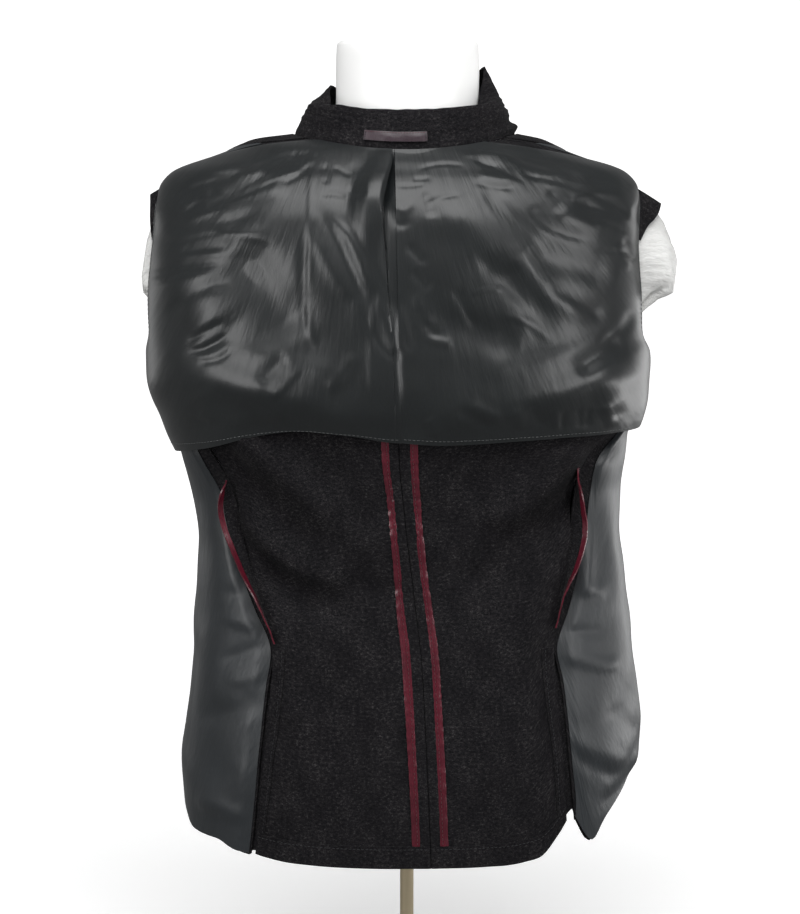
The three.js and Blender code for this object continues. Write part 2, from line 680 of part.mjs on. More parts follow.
const LOOP = { from: -46, to: 21, low: 8.5, high: 20, off: 2.2 }; // hanger loop on the stand

function buildCollar() {
  const grid = collarGrid();
  add('collar', wall(grid, -COLLAR_THICK, 0), woolCloth);
  const spans = 6;
  const loop = [LOOP.low, LOOP.high].map((up) => {
    const row = [];
    for (let i = 0; i <= spans; i += 1) {
      const x = mix(LOOP.from, LOOP.to, i / spans);
      const section = collarSection(backBearing(x, NECK));
      const point = section[0].clone().lerp(section[2], up / section[0].distanceTo(section[2]));
      const bow = Math.sin((Math.PI * i) / spans) * LOOP.off;
      point.y -= 0.4 + bow;
      row.push(point);
    }
    return row;
  });
  add('hanger_loop', wall(withNormals(loop), 0, 1), bindingCloth);
}

// ---------------------------------------------------------------- sleeves, drawn inside the body
const SLEEVE = 1.8; // thickness of a sleeve's wall
const SLEEVE_POINTS = 20; // places round a sleeve
const SLEEVE_INSIDE = [3.9, 1.8]; // how far the sleeve's edge stands inside the armhole's,
// where it turns straight in and where it bulges out
// The sleeve head bulges out of the armhole, folds over and goes back in above the armpit.
const BULGE = { left: 15, right: 42 };
// The sleeve inside the body, by height: how deep its middle lies under the body's surface, half
// its thickness, and how far it reaches round towards back and front, in degrees.
const SLEEVE_DROP = table(['z', 'middle', 'half', 'reach'], [
  [350, 18, 9, 25], [440, 20, 10, 26], [520, 20, 11, 28], [600, 19, 10, 26], [655, 17, 9, 20],
]);
const SLEEVE_LEVELS = [655, 570, 460, 350];

function armholePlace(side, t) {
  const back = t < 0.5;
  const share = back ? t * 2 : (1 - t) * 2; // 0 at the shoulder tip, 1 at the armpit
  const sideShare = 0.68;
  const edge = back ? 'Back' : 'Front';
  if (share < sideShare) {
    const z = mix(SHOULDER_TIP, CORNER, share / sideShare);
    return bodyPlace(side * armholeEdge(side, z, edge), z);
  }
  const corner = armholeEdge(side, CORNER, edge);
  const bearing = mix(corner, 90, (share - sideShare) / (1 - sideShare));
  return bodyPlace(side * bearing, armholeBottom(bearing, side));
}

const smooth = (t) => t * t * (3 - 2 * t);

// The run of a sleeve's wall from a point of the armhole's edge to the cuff.
function sleevePath(side, t) {
  const turn = t * 2 * Math.PI;
  const up = (1 + Math.cos(turn)) / 2; // 1 at the shoulder, 0 at the armpit
  const edge = armholePlace(side, t);
  const middle = bodyPoint(side * 92, 815);
  const share = smooth(Math.min(Math.max((up - 0.24) / 0.6, 0), 1));
  const start = edge.point.clone().addScaledVector(
    middle.clone().sub(edge.point).normalize(), mix(...SLEEVE_INSIDE, Math.min(1, share * 3)),
  );
  const bulge = share * BULGE[sideName(side)];
  const inset = 6 * (1 - Math.min(1, share * 2));
  const at = (out, narrow, z) => {
    const point = start.clone().addScaledVector(edge.normal, -inset * (1 - out * 0.2));
    return new THREE.Vector3(point.x + side * bulge * out, point.y * narrow, z);
  };
  const lowest = mix(start.z, 792, share);
  const path = [
    start,
    at(0.3, 0.98, start.z - 14 * share),
    at(0.76, 0.94, mix(start.z, lowest, 0.34 * share)),
    at(1, 0.88, mix(start.z, lowest, 0.62)),
    at(0.96, 0.82, lowest),
    at(0.55, 0.76, lowest - 7 * share),
  ];
  const deepAt = (z) => read(SLEEVE_DROP, z, 'middle') + read(SLEEVE_DROP, z, 'half') * Math.cos(turn);
  const inside = (z, deep, reach) => moved(bodyPlace(side * (91 - reach * Math.sin(turn)), z), -deep);
  path.push(inside(mix(700, 752, up), mix(8, 15, up), 13));
  for (const z of SLEEVE_LEVELS) path.push(inside(z, deepAt(z), read(SLEEVE_DROP, z, 'reach')));
  return path;
}

// The places round the sleeve, in the order that makes its wall face out on either side.
function sleeveTurns(side) {
  const turns = Array.from({ length: SLEEVE_POINTS }, (_, i) => i / SLEEVE_POINTS);
  return side < 0 ? turns.map((t) => (1 - t) % 1) : turns;
}

// The wool allowance round the top of the armhole stands out over the sleeve head.
const HEAD = table(['turn', 'left', 'right'], [
  [-0.14, 3, 4], [-0.1, 6, 12], [-0.05, 10, 23], [0.0, 12, 30], [0.06, 11, 27], [0.11, 7, 15],
  [0.15, 3, 4],
]);
const HEAD_COLUMNS = 12;

function buildSleeve(name, side) {
  const columns = sleeveTurns(side).map((t) => sleevePath(side, t));
  const rings = columns[0].map((_, j) => columns.map((column) => column[j]));
  add(`sleeve_${name}`, wall(withNormals(rings, true), -SLEEVE, 0, true), sleeveCloth);

  const middle = bodyPoint(side * 92, 815);
  const flap = [0, 0.5, 1].map((share) => {
    const row = [];
    for (let i = 0; i <= HEAD_COLUMNS; i += 1) {
      const turn = mix(HEAD[0].turn, HEAD[HEAD.length - 1].turn, i / HEAD_COLUMNS);
      const edge = armholePlace(side, (turn + 1) % 1);
      const inward = middle.clone().sub(edge.point).normalize();
      const root = moved(edge, GAP * 4).addScaledVector(inward, 1.5);
      const out = new THREE.Vector3(side, 0, -0.62).normalize();
      row.push(root.addScaledVector(out, read(HEAD, turn, name, 'turn') * share));
    }
    return side > 0 ? row.reverse() : row;
  });
  add(`sleeve_head_${name}`, wall(withNormals(flap.reverse()), 0, 1.2), woolCloth);
}

// ---------------------------------------------------------------- buttons on the right front
const BUTTON = { radius: 10, high: 3.5, heights: [500, 395], fromEdge: 20 };

function buildButtons() {
  BUTTON.heights.forEach((z, i) => {
    const edge = frontBearing(1, read(FRONT_EDGE, z, 'half'), z);
    const place = bodyPlace(along(edge, z, -BUTTON.fromEdge), z);
    const button = add(`button_${i + 1}`, new THREE.CylinderGeometry(
      BUTTON.radius, BUTTON.radius - 1, BUTTON.high, 20,
    ), horn);
    button.position.copy(moved(place, -WOOL - 2 * GAP - BUTTON.high / 2));
    button.quaternion.setFromUnitVectors(new THREE.Vector3(0, 1, 0), place.normal);
  });
}

// ---------------------------------------------------------------- torso form and its stand
const FORM = table(['z', 'left', 'right', 'back', 'front', 'round', 'dipBack', 'dipFront'], [
  [306, 166, 166, 98, 92, 2.2, 0, 0],
  [320, 171, 171, 103, 96, 2.2, 0, 0],
  [380, 170, 170, 99, 94, 2.2, 0, 0],
  [460, 158, 158, 88, 90, 2.2, 0, 0],
  [530, 152, 152, 82, 92, 2.2, 0, 0],
  [600, 162, 162, 90, 100, 2.2, 0, 0],
  [670, 178, 178, 100, 108, 2.2, 0, 0],
  [730, 192, 192, 106, 112, 2.15, 0, 0],
  [775, 210, 210, 108, 110, 2.0, 0, 0],
  [815, 230, 224, 106, 106, 1.9, 0, 2],
  [850, 238, 230, 100, 98, 1.9, 1, 6],
  [882, 236, 226, 94, 88, 1.95, 3, 14],
]);
// Across the shoulders the form lies this far under the body's surface and carries the jacket.
const SHOULDER_REST = table(['z', 'under'], [
  [905, 12], [918, 6.5], [930, 4.8], [941, 4.7], [950, 5.1], [957, 4.5],
]);
const FORM_NECK = table(['z', 'left', 'right', 'back', 'front', 'round', 'dipBack', 'dipFront'], [
  [958, 99, 95, 66, 66, 2.0, 16, 52],
  [964, 85, 85, 60, 63, 2.0, 10, 34],
  [976, 77, 77, 58, 61, 2.0, 4, 16],
  [996, 75, 76, 57, 60, 2.0, 1, 5],
  [1024, 75, 76, 57, 60, 2.0, 0, 0],
  [1050, 74, 75, 57, 60, 2.0, 0, 0],
]);
const FORM_POINTS = 40;
const POLE = { radius: 7.5, sides: 20 };
const BASE = { radius: 150, high: 10 };
const FLANGE = { radius: 34, high: 8 };

const formBearings = Array.from({ length: FORM_POINTS }, (_, i) => (i * 360) / FORM_POINTS - 180);
const ringOf = (rows, z) => formBearings.map((bearing) => loopPoint(rows, bearing, z));

function lathe(profile, segments) {
  const outline = profile.map(([radius, height]) => new THREE.Vector2(radius, height));
  return new THREE.LatheGeometry(outline, segments).rotateX(Math.PI / 2);
}

function buildForm() {
  const rings = [
    ...FORM.map((row) => ringOf(FORM, row.z)),
    ...SHOULDER_REST.map((row) => formBearings.map((b) => moved(bodyPlace(b, row.z), -row.under))),
    ...FORM_NECK.map((row) => ringOf(FORM_NECK, row.z)),
  ];
  const top = rings[rings.length - 1];
  rings.push(top.map((p) => new THREE.Vector3(p.x * 0.93, p.y * 0.93, p.z + 5)));
  add('torso_form', stack(rings), formCover);
  const under = FORM[0].z;
  const flangeTop = under - GAP;
  add('form_flange', lathe([
    [0, flangeTop - FLANGE.high], [FLANGE.radius, flangeTop - FLANGE.high],
    [FLANGE.radius, flangeTop], [0, flangeTop],
  ], 32), brass);
  const poleTop = flangeTop - FLANGE.high - GAP;
  const foot = BASE.high + GAP;
  add('pole', lathe([[0, foot], [POLE.radius, foot], [POLE.radius, poleTop], [0, poleTop]], POLE.sides), brass);
  const bore = POLE.radius + GAP;
  add('pole_socket', lathe([
    [bore, foot], [24, foot], [22, foot + 6], [13, foot + 26], [bore, foot + 26], [bore, foot],
  ], 24), brass);
  add('base', lathe([
    [0, 0], [BASE.radius - 2, 0], [BASE.radius, 2], [BASE.radius, BASE.high - 3],
    [BASE.radius - 3, BASE.high], [0, BASE.high],
  ], 48), formCover);
}

// ---------------------------------------------------------------- assembly
for (const [name, side] of SIDES) {
  buildBack(name, side);
  buildSide(name, side);
  buildFin(name, side);
  buildFront(name, side);
  buildBackLining(name, side);
  buildSleeve(name, side);
}
buildCollar();
buildButtons();
buildForm();

export default jacket;
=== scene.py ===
"""A half-lined suit jacket, turned inside out on a dress form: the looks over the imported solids.

Lengths are millimetres until a mesh is made. A place on the body is a bearing and a height:
bearing 0 is the centre back, 90 the right side, -90 the left side and 180 the centre front.
A grid is an array of points, rows by columns by 3, that runs up and, seen from outside, across.
"""

import json
import math

import bmesh
import bpy
import numpy as np
from mathutils import Matrix, Vector
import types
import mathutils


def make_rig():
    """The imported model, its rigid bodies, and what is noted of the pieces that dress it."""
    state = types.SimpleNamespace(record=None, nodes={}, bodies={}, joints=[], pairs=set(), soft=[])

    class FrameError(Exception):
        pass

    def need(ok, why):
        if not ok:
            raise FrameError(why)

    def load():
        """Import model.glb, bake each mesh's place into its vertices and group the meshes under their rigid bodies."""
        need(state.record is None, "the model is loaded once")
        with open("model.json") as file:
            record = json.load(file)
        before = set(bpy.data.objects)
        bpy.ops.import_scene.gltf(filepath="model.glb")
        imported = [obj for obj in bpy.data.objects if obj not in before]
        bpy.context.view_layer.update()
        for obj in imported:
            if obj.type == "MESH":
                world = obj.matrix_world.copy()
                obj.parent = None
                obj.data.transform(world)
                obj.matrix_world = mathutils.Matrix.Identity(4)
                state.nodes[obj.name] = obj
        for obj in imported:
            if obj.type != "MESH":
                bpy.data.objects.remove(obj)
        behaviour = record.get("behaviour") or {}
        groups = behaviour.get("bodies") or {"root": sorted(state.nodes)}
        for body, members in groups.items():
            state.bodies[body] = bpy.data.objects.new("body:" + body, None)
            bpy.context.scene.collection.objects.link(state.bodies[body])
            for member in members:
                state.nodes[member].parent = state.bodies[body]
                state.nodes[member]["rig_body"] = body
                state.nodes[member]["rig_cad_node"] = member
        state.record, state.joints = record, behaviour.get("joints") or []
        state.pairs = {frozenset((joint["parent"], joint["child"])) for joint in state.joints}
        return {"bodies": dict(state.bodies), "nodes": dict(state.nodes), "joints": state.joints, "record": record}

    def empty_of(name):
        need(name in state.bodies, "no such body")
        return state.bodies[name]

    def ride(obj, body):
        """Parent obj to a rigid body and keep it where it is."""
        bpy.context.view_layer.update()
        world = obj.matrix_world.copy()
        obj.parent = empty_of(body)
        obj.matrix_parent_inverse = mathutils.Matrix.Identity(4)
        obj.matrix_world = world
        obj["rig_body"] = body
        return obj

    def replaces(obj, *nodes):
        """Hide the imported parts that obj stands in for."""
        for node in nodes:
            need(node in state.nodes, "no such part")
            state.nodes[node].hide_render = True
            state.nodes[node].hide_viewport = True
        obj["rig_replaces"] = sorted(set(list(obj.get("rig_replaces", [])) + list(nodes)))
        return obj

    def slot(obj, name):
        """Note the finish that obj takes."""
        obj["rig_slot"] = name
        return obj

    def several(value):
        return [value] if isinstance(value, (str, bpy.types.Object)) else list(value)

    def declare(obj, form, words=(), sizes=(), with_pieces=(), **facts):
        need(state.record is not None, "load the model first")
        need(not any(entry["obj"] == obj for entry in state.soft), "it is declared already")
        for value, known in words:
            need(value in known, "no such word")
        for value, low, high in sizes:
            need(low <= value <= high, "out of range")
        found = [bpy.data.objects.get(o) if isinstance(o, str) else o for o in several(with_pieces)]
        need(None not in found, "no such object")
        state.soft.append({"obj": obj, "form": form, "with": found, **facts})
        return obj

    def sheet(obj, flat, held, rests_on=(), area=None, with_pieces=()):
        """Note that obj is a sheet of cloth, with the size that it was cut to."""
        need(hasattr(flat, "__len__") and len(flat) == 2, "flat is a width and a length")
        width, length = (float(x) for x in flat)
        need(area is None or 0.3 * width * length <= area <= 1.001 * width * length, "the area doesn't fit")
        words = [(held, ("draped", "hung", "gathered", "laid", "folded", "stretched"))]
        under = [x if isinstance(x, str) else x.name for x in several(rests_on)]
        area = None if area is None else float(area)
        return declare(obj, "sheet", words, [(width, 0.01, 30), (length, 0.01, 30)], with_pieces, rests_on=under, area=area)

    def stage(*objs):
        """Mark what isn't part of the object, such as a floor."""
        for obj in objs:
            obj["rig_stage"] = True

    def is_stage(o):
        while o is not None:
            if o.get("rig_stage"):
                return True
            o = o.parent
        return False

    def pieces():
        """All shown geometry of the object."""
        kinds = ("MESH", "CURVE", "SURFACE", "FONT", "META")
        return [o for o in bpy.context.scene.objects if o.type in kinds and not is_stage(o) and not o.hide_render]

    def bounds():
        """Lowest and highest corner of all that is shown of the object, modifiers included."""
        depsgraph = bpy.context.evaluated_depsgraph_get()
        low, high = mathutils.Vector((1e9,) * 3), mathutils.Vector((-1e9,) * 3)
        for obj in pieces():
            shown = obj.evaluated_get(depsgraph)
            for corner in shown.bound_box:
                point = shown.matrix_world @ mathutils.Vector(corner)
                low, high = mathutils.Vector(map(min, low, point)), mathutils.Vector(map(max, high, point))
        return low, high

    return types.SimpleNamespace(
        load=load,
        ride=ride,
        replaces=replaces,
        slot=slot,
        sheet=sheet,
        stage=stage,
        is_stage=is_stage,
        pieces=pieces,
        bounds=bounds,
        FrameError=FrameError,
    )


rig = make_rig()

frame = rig.load()
cad_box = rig.bounds()

# ------------------------------ sizes
MM = 0.001
WOOL = 2.0
SATIN = 0.8
BINDING = 1.4
STRIP = 1.2  # thickness of a facing or an allowance
LAP_THICK = 1.6  # thickness of the vent's underlap
GAP = 0.3  # between pieces that are seamed together
SEAM = GAP / 2
HEM = 200
LIFT_TOP = 420  # the rise of the hem fades out towards this height
VENT_TOP = 425
BOUND_TOP = 705  # where the bound allowances end, under the half lining
ARMPIT = 715
CORNER = 750  # where the side seams meet the armhole
SHOULDER_TIP = 905
BELOW_NECK = 950
NECK = 957
ALLOWANCE = 10.5  # from the centre seam to its binding
BOUND = 18.5  # from the centre seam to the far edge of its binding
VENT_FACING = 14
UNDERLAP = 26
LAP_PAST = 6  # how far the underlap runs on behind the side panel
LAP_SHORT = 5  # its lower edge is drawn up by this, but never by a whole step of its grid
BODY_REACH = 200  # turns an angle round the body into a distance
SHARP_ANGLE = math.radians(52)
SIDES = (("left", -1), ("right", 1))


class Table:
    """Rows with named columns. The first column is what the rest are read by. A row that is too
    short ends in zeros."""

    def __init__(self, columns, rows):
        names = columns.split()
        rows = [(*row, *[0] * (len(names) - len(row))) for row in rows]
        values = np.array(rows, float).T
        self.at = values[0]
        self.columns = dict(zip(names, values))
        self.rows = [dict(zip(names, row)) for row in rows]

    def read(self, at, name):
        """Reads a column along a smooth curve through the rows."""
        x, y = self.at, self.columns[name]
        order = np.arange(len(x))
        before, after = np.maximum(order - 1, 0), np.minimum(order + 1, len(x) - 1)
        slope = (y[after] - y[before]) / (x[after] - x[before])
        at = np.clip(at, x[0], x[-1])
        i = np.clip(np.searchsorted(x, at) - 1, 0, len(x) - 2)
        span = x[i + 1] - x[i]
        t = (at - x[i]) / span
        rising = 3 * t**2 - 2 * t**3
        bend = (t**3 - 2 * t**2 + t) * slope[i] + (t**3 - t**2) * slope[i + 1]
        return (1 - rising) * y[i] + rising * y[i + 1] + bend * span

    def straight(self, at, name):
        """Reads a column along straight lines between the rows."""
        return np.interp(at, self.at, self.columns[name])


def crease_table(rows):
    """Each crease runs through three places of a plane, a and b. It has a height, a width and
    sometimes a skew."""
    return Table("a1 b1 a2 b2 a3 b3 high wide skew", rows)


# The half widths and depths of the body, how square its loops are, and how they dip at the neck.
BODY = Table("z left right back front round dip_back dip_front", [
    (200, 241, 250, 138, 118, 1.95, 0, 0),
    (260, 243, 252, 137, 118, 1.95, 0, 0),
    (320, 236, 248, 132, 116, 2.0, 0, 0),
    (425, 227, 238, 116, 110, 2.1, 0, 0),
    (500, 221, 229, 106, 106, 2.2, 0, 0),
    (560, 222, 223, 107, 108, 2.2, 0, 0),
    (620, 238, 231, 115, 116, 2.2, 0, 0),
    (660, 249, 238, 122, 121, 2.2, 0, 0),
    (705, 262, 243, 129, 125, 2.2, 0, 0),
    (750, 269, 246, 132, 126, 2.2, 0, 0),
    (800, 271, 247, 133, 124, 2.2, 0, 1),
    (840, 269, 247, 130, 118, 2.15, 0, 4),
    (870, 267, 247, 125, 112, 2.1, 1, 9),
    (890, 263, 245, 119, 106, 2.05, 3, 16),
    (905, 258, 240, 113, 101, 2.0, 6, 24),
    (918, 246, 227, 107, 95, 2.0, 9, 32),
    (930, 216, 195, 101, 89, 2.0, 12, 40),
    (941, 187, 166, 96, 83, 2.0, 14, 46),
    (950, 166, 147, 91, 79, 2.0, 15.5, 51),
    (957, 121, 116, 87, 76, 2.0, 16, 55),
])
# How far the hem rises, by bearing.
HEM_LIFT = Table("bearing lift", [
    (-180, 8), (-140, 20), (-110, 44), (-90, 46), (-80, 30), (-71, 13), (-55, 11), (-48, 2),
    (-46, -1), (-43, 5), (-36, 0), (-20, -1), (0, 0), (26, -1), (32, 2), (36, 7), (39, 20),
    (42, 38), (45.5, 50), (47.5, 0), (49.5, 4), (53, 22), (58, 38), (64, 52), (70, 66),
    (76, 82), (80, 90),
    (92, 96), (110, 88), (140, 40), (180, 8),
])
# Broad soft folds of the back, as straight lines across and up.
BODY_FOLDS = Table("x1 z1 x2 z2 high wide", [
    (-205, 585, -130, 505, -7, 28),
    (-120, 500, -20, 455, -4, 28),
    (-190, 640, -90, 560, 4, 30),
    (185, 600, 120, 545, -6, 28),
    (90, 500, 30, 470, -3, 28),
])
# Where the seams of the back run, across, by height.
SEAMS = Table("z centre left right", [
    (200, 25, -160, 168), (300, 21, -150, 163), (425, 14, -140, 154), (465, 9, -152, 161),
    (500, 5, -162, 167), (540, 0, -170, 172), (580, -4, -178, 175), (620, -8, -200, 184),
    (660, -9, -224, 228), (705, -10, -248, 232), (750, -11, -259, 238), (957, -13, -259, 238),
])
# The half lining's own centre seam.
LINING_SEAM = Table("z centre", [(640, -4), (760, -9), (957, -13)])
# Bearings of the armholes, the shoulder seam, the front's side seam and the facing's edge.
ARMHOLE = Table("z left_back left_front right_back right_front", [
    (750, 78, 112, 76, 112), (795, 80, 112, 76, 112), (835, 80, 110, 75, 110),
    (870, 81, 106, 78, 106), (890, 84, 99, 83, 99), (905, 90, 90, 90, 90),
])
SHOULDER_SEAM = Table("z bearing", [
    (905, 90), (918, 88), (930, 83), (941, 74), (950, 65), (957, 58),
])
FRONT_SIDE_SEAM = Table("z bearing", [(200, 122), (560, 118), (750, 112)])
FACING_EDGE = Table("z bearing", [
    (200, 148), (300, 155), (705, 158), (835, 152), (890, 142), (918, 126), (930, 110),
    (941, 88), (950, 69), (957, 61),
])
# Half of the distance between the two fronts.
FRONT_EDGE = Table("z half", [
    (200, 88), (224, 62), (262, 42), (300, 31), (345, 23), (425, 16), (620, 11), (957, 10),
])
# How far the side vents stand open.
VENT_GAP = Table("z left right", [(200, 10, 15), (300, 7.5, 9.5), (384, 4.5, 6), (425, GAP, GAP)])
# How far the side lining stays off the side panel's back edge.
LINING_MARGIN = Table("z wide", [
    (200, 3.5), (425, 3.5), (463, 10), (500, 15), (560, 20), (750, 20),
])
# The rows of a panel's coarse grid.
HEIGHTS = np.array([
    200, 224, 262, 300, 342, 384, 425, 463, 500, 540, 580, 620, 660, 705, 750, 795, 835, 870,
    890, 905, 918, 930, 941, 950, 957,
], float)
CORNER_ROW, VENT_ROW, BOUND_ROW, BELOW_NECK_ROW = (
    list(HEIGHTS).index(height) for height in (CORNER, VENT_TOP, BOUND_TOP, BELOW_NECK)
)


# ------------------------------ the body
def mix(a, b, t):
    return a + (b - a) * t


def smooth(t):
    t = np.clip(t, 0, 1)
    return t * t * (3 - 2 * t)


def signed_power(value, exponent):
    return np.sign(value) * np.abs(value) ** exponent


def fold_height(folds, x, z):
    """Soft ridges and troughs along straight lines."""
    total = np.zeros(np.shape(x))
    for f in folds.rows:
        dx, dz = f["x2"] - f["x1"], f["z2"] - f["z1"]
        t = np.clip(((x - f["x1"]) * dx + (z - f["z1"]) * dz) / (dx * dx + dz * dz), 0, 1)
        away = np.hypot(x - f["x1"] - t * dx, z - f["z1"] - t * dz)
        total += f["high"] * np.exp(-((away / f["wide"]) ** 2))
    return total


def loop_point(table, bearing, z):
    """A place on a rounded body whose half widths and depths a table holds."""
    bearing, z = np.broadcast_arrays(np.asarray(bearing, float), np.asarray(z, float))
    across, along_y = np.sin(np.radians(bearing)), np.cos(np.radians(bearing))
    behind = along_y > 0
    exponent = 2 / table.read(z, "round")
    half = np.where(across < 0, table.read(z, "left"), table.read(z, "right"))
    depth = np.where(behind, table.read(z, "back"), table.read(z, "front"))
    dip = np.where(behind, table.read(z, "dip_back"), table.read(z, "dip_front"))
    x = half * signed_power(across, exponent)
    y = -depth * signed_power(along_y, exponent)
    return np.stack([x, y, z - dip * along_y**2], axis=-1)


def body_point(bearing, z):
    """A place on the outside of the jacket's body, by bearing and height."""
    bearing, z = np.broadcast_arrays(np.asarray(bearing, float), np.asarray(z, float))
    turn = np.where(bearing > 180, bearing - 360, bearing)
    point = loop_point(BODY, turn, z)
    fade = np.maximum(0, (LIFT_TOP - z) / (LIFT_TOP - HEM))
    point[..., 2] += HEM_LIFT.straight(turn, "lift") * fade
    folds = fold_height(BODY_FOLDS, point[..., 0], point[..., 2])
    point[..., 1] -= np.where(np.abs(turn) < 90, folds, 0)
    return point


def unit(vectors):
    return vectors / np.maximum(np.linalg.norm(vectors, axis=-1, keepdims=True), 1e-9)


def body_normal(bearing, z):
    """The way out of the body at a place, worked out over a small step in bearing and height."""
    step = 0.6
    across = body_point(bearing + step, z) - body_point(bearing - step, z)
    low, high = np.maximum(z - step, HEM), np.minimum(z + step, NECK)
    return unit(np.cross(across, body_point(bearing, high) - body_point(bearing, low)))


def back_bearing(x, z):
    """The bearing of a place on the back of the body that lies x across."""
    half = np.where(x < 0, BODY.read(z, "left"), BODY.read(z, "right"))
    share = np.minimum(np.abs(x) / half, 1) ** (BODY.read(z, "round") / 2)
    return np.sign(x) * np.degrees(np.arcsin(share))


def front_bearing(side, half, z):
    """The bearing of a place on the front that lies a half width from the centre."""
    return side * (180 - np.abs(back_bearing(side * half, z)))


def along(bearing, z, distance):
    """A bearing moved along its loop by a distance."""
    reach = np.linalg.norm(body_point(bearing + 1, z) - body_point(bearing - 1, z), axis=-1) / 2
    return bearing + distance / reach


# ------------------------------ grids
def lengths(points):
    """How far each row of points is from the one before."""
    return np.maximum(np.linalg.norm(np.diff(points, axis=0), axis=-1), 1e-6)


def refined(points, step, closed=False):
    """Adds lines to a grid between its rows, on a smooth curve. Also returns where each row went."""
    if closed:
        points = np.concatenate([points, points[:1]])
    gap = lengths(points)[..., None]
    slope = np.empty_like(points)
    slope[1:-1] = (points[2:] - points[:-2]) / (gap[1:] + gap[:-1])
    slope[0], slope[-1] = (points[1] - points[0]) / gap[0], (points[-1] - points[-2]) / gap[-1]
    if closed:
        slope[0] = slope[-1] = (points[1] - points[-2]) / (gap[0] + gap[-1])
    made, places = [], []
    for i in range(len(gap)):
        steps = max(1, math.ceil(float(np.median(gap[i])) / step))
        places.append(sum(len(part) for part in made))
        t = (np.arange(steps) / steps).reshape(-1, *[1] * (points.ndim - 1))
        rising = 3 * t**2 - 2 * t**3
        bend = (t**3 - 2 * t**2 + t) * slope[i] + (t**3 - t**2) * slope[i + 1]
        made.append((1 - rising) * points[i] + rising * points[i + 1] + bend * gap[i])
    places.append(sum(len(part) for part in made))
    if not closed:
        made.append(points[-1:])
    return np.concatenate(made), places


class Grid:
    """A fine grid of points made from a coarse one, which keeps where the coarse lines went."""

    def __init__(self, coarse, step, closed=False):
        tall, self.rows = refined(np.asarray(coarse, float), step)
        wide, self.columns = refined(tall.transpose(1, 0, 2), step, closed)
        self.points = wide.transpose(1, 0, 2)[..., :3]
        self.extra = wide.transpose(1, 0, 2)[..., 3:].squeeze()
        self.closed = closed
        self.face()

    def face(self):
        """Works out the normals, which face away from the grid's own inside."""
        p = self.points
        if self.closed:
            across = np.roll(p, -1, axis=1) - np.roll(p, 1, axis=1)
        else:
            across = np.gradient(p, axis=1)
        up = np.gradient(p, axis=0)
        self.normals = unit(np.cross(across, up))

    def axes(self):
        return self.points[..., 0], self.points[..., 1], self.points[..., 2]

    def raised(self, heights):
        """Moves the points out along the normals."""
        self.points = self.points + self.normals * np.asarray(heights)[..., None]
        self.face()
        return self

    def block(self, rows, columns):
        """The part of the grid between two coarse rows and two coarse columns."""
        made = object.__new__(Grid)
        r = slice(self.rows[rows[0]], self.rows[rows[1]] + 1)
        c = slice(self.columns[columns[0]], self.columns[columns[1]] + 1)
        made.points, made.normals = self.points[r, c].copy(), self.normals[r, c].copy()
        made.closed = False
        return made

    def trimmed(self, side=1, near=0, far=0, bottom=0, top=0):
        """Pulls the outermost points towards their neighbours, so that pieces clear each other.
        The near edge is the one by the centre back, on both sides."""
        p = self.points
        first, last = (far, near) if side < 0 else (near, far)
        for line, beside, distance in ((0, 1, first), (-1, -2, last)):
            if distance:
                p[:, line] += pull(p[:, line], p[:, beside], distance)
        for line, beside, distance in ((0, 1, bottom), (-1, -2, top)):
            if distance:
                p[line] += pull(p[line], p[beside], distance)
        return self


def pull(points, towards, distance):
    """The move that takes points towards others, but never all the way."""
    step = towards - points
    reach = np.linalg.norm(step, axis=-1, keepdims=True)
    return step / np.maximum(reach, 1e-9) * np.minimum(distance, reach * 0.8)


def side_columns(grid, side, start, end):
    """A block's columns, counted from the centre back on both sides."""
    last = len(grid.columns) - 1
    return (last - end, last - start) if side < 0 else (start, end)


def faced(side, points):
    """Columns counted from the centre back, put in order across."""
    return points[:, ::-1] if side < 0 else points


# ------------------------------ meshes
def new_object(name, vertices, faces, finish, maps=None, node=None):
    """A mesh of quads. maps holds, by name, a flat place for each corner. node is the CAD node that
    the object stands for, where there is one."""
    material, slot = FINISH[finish]
    mesh = bpy.data.meshes.new(name)
    corners, sides = faces.size, faces.shape[1]
    mesh.vertices.add(len(vertices))
    mesh.vertices.foreach_set("co", (np.asarray(vertices) * MM).astype(np.float32).ravel())
    mesh.loops.add(corners)
    mesh.loops.foreach_set("vertex_index", faces.astype(np.int32).ravel())
    mesh.polygons.add(len(faces))
    mesh.polygons.foreach_set("loop_start", np.arange(0, corners, sides, dtype=np.int32))
    for key, flat in (maps or {}).items():
        layer = mesh.uv_layers.new(name=key)
        layer.data.foreach_set("uv", (flat * MM).astype(np.float32).ravel())
    mesh.update(calc_edges=True)
    mesh.polygons.foreach_set("use_smooth", np.ones(len(faces), bool))
    mesh.set_sharp_from_angle(angle=SHARP_ANGLE)
    mesh.materials.append(material)
    made = bpy.data.objects.new(name, mesh)
    bpy.context.scene.collection.objects.link(made)
    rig.ride(made, "root")
    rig.slot(made, slot)
    if node:
        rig.replaces(made, node)
    return made


def quads(a, b, c, d):
    return np.stack([a, b, c, d], axis=-1).reshape(-1, 4)


def skin(index):
    """The faces between the rows and columns of a grid."""
    return quads(index[:-1, :-1], index[:-1, 1:], index[1:, 1:], index[1:, :-1])


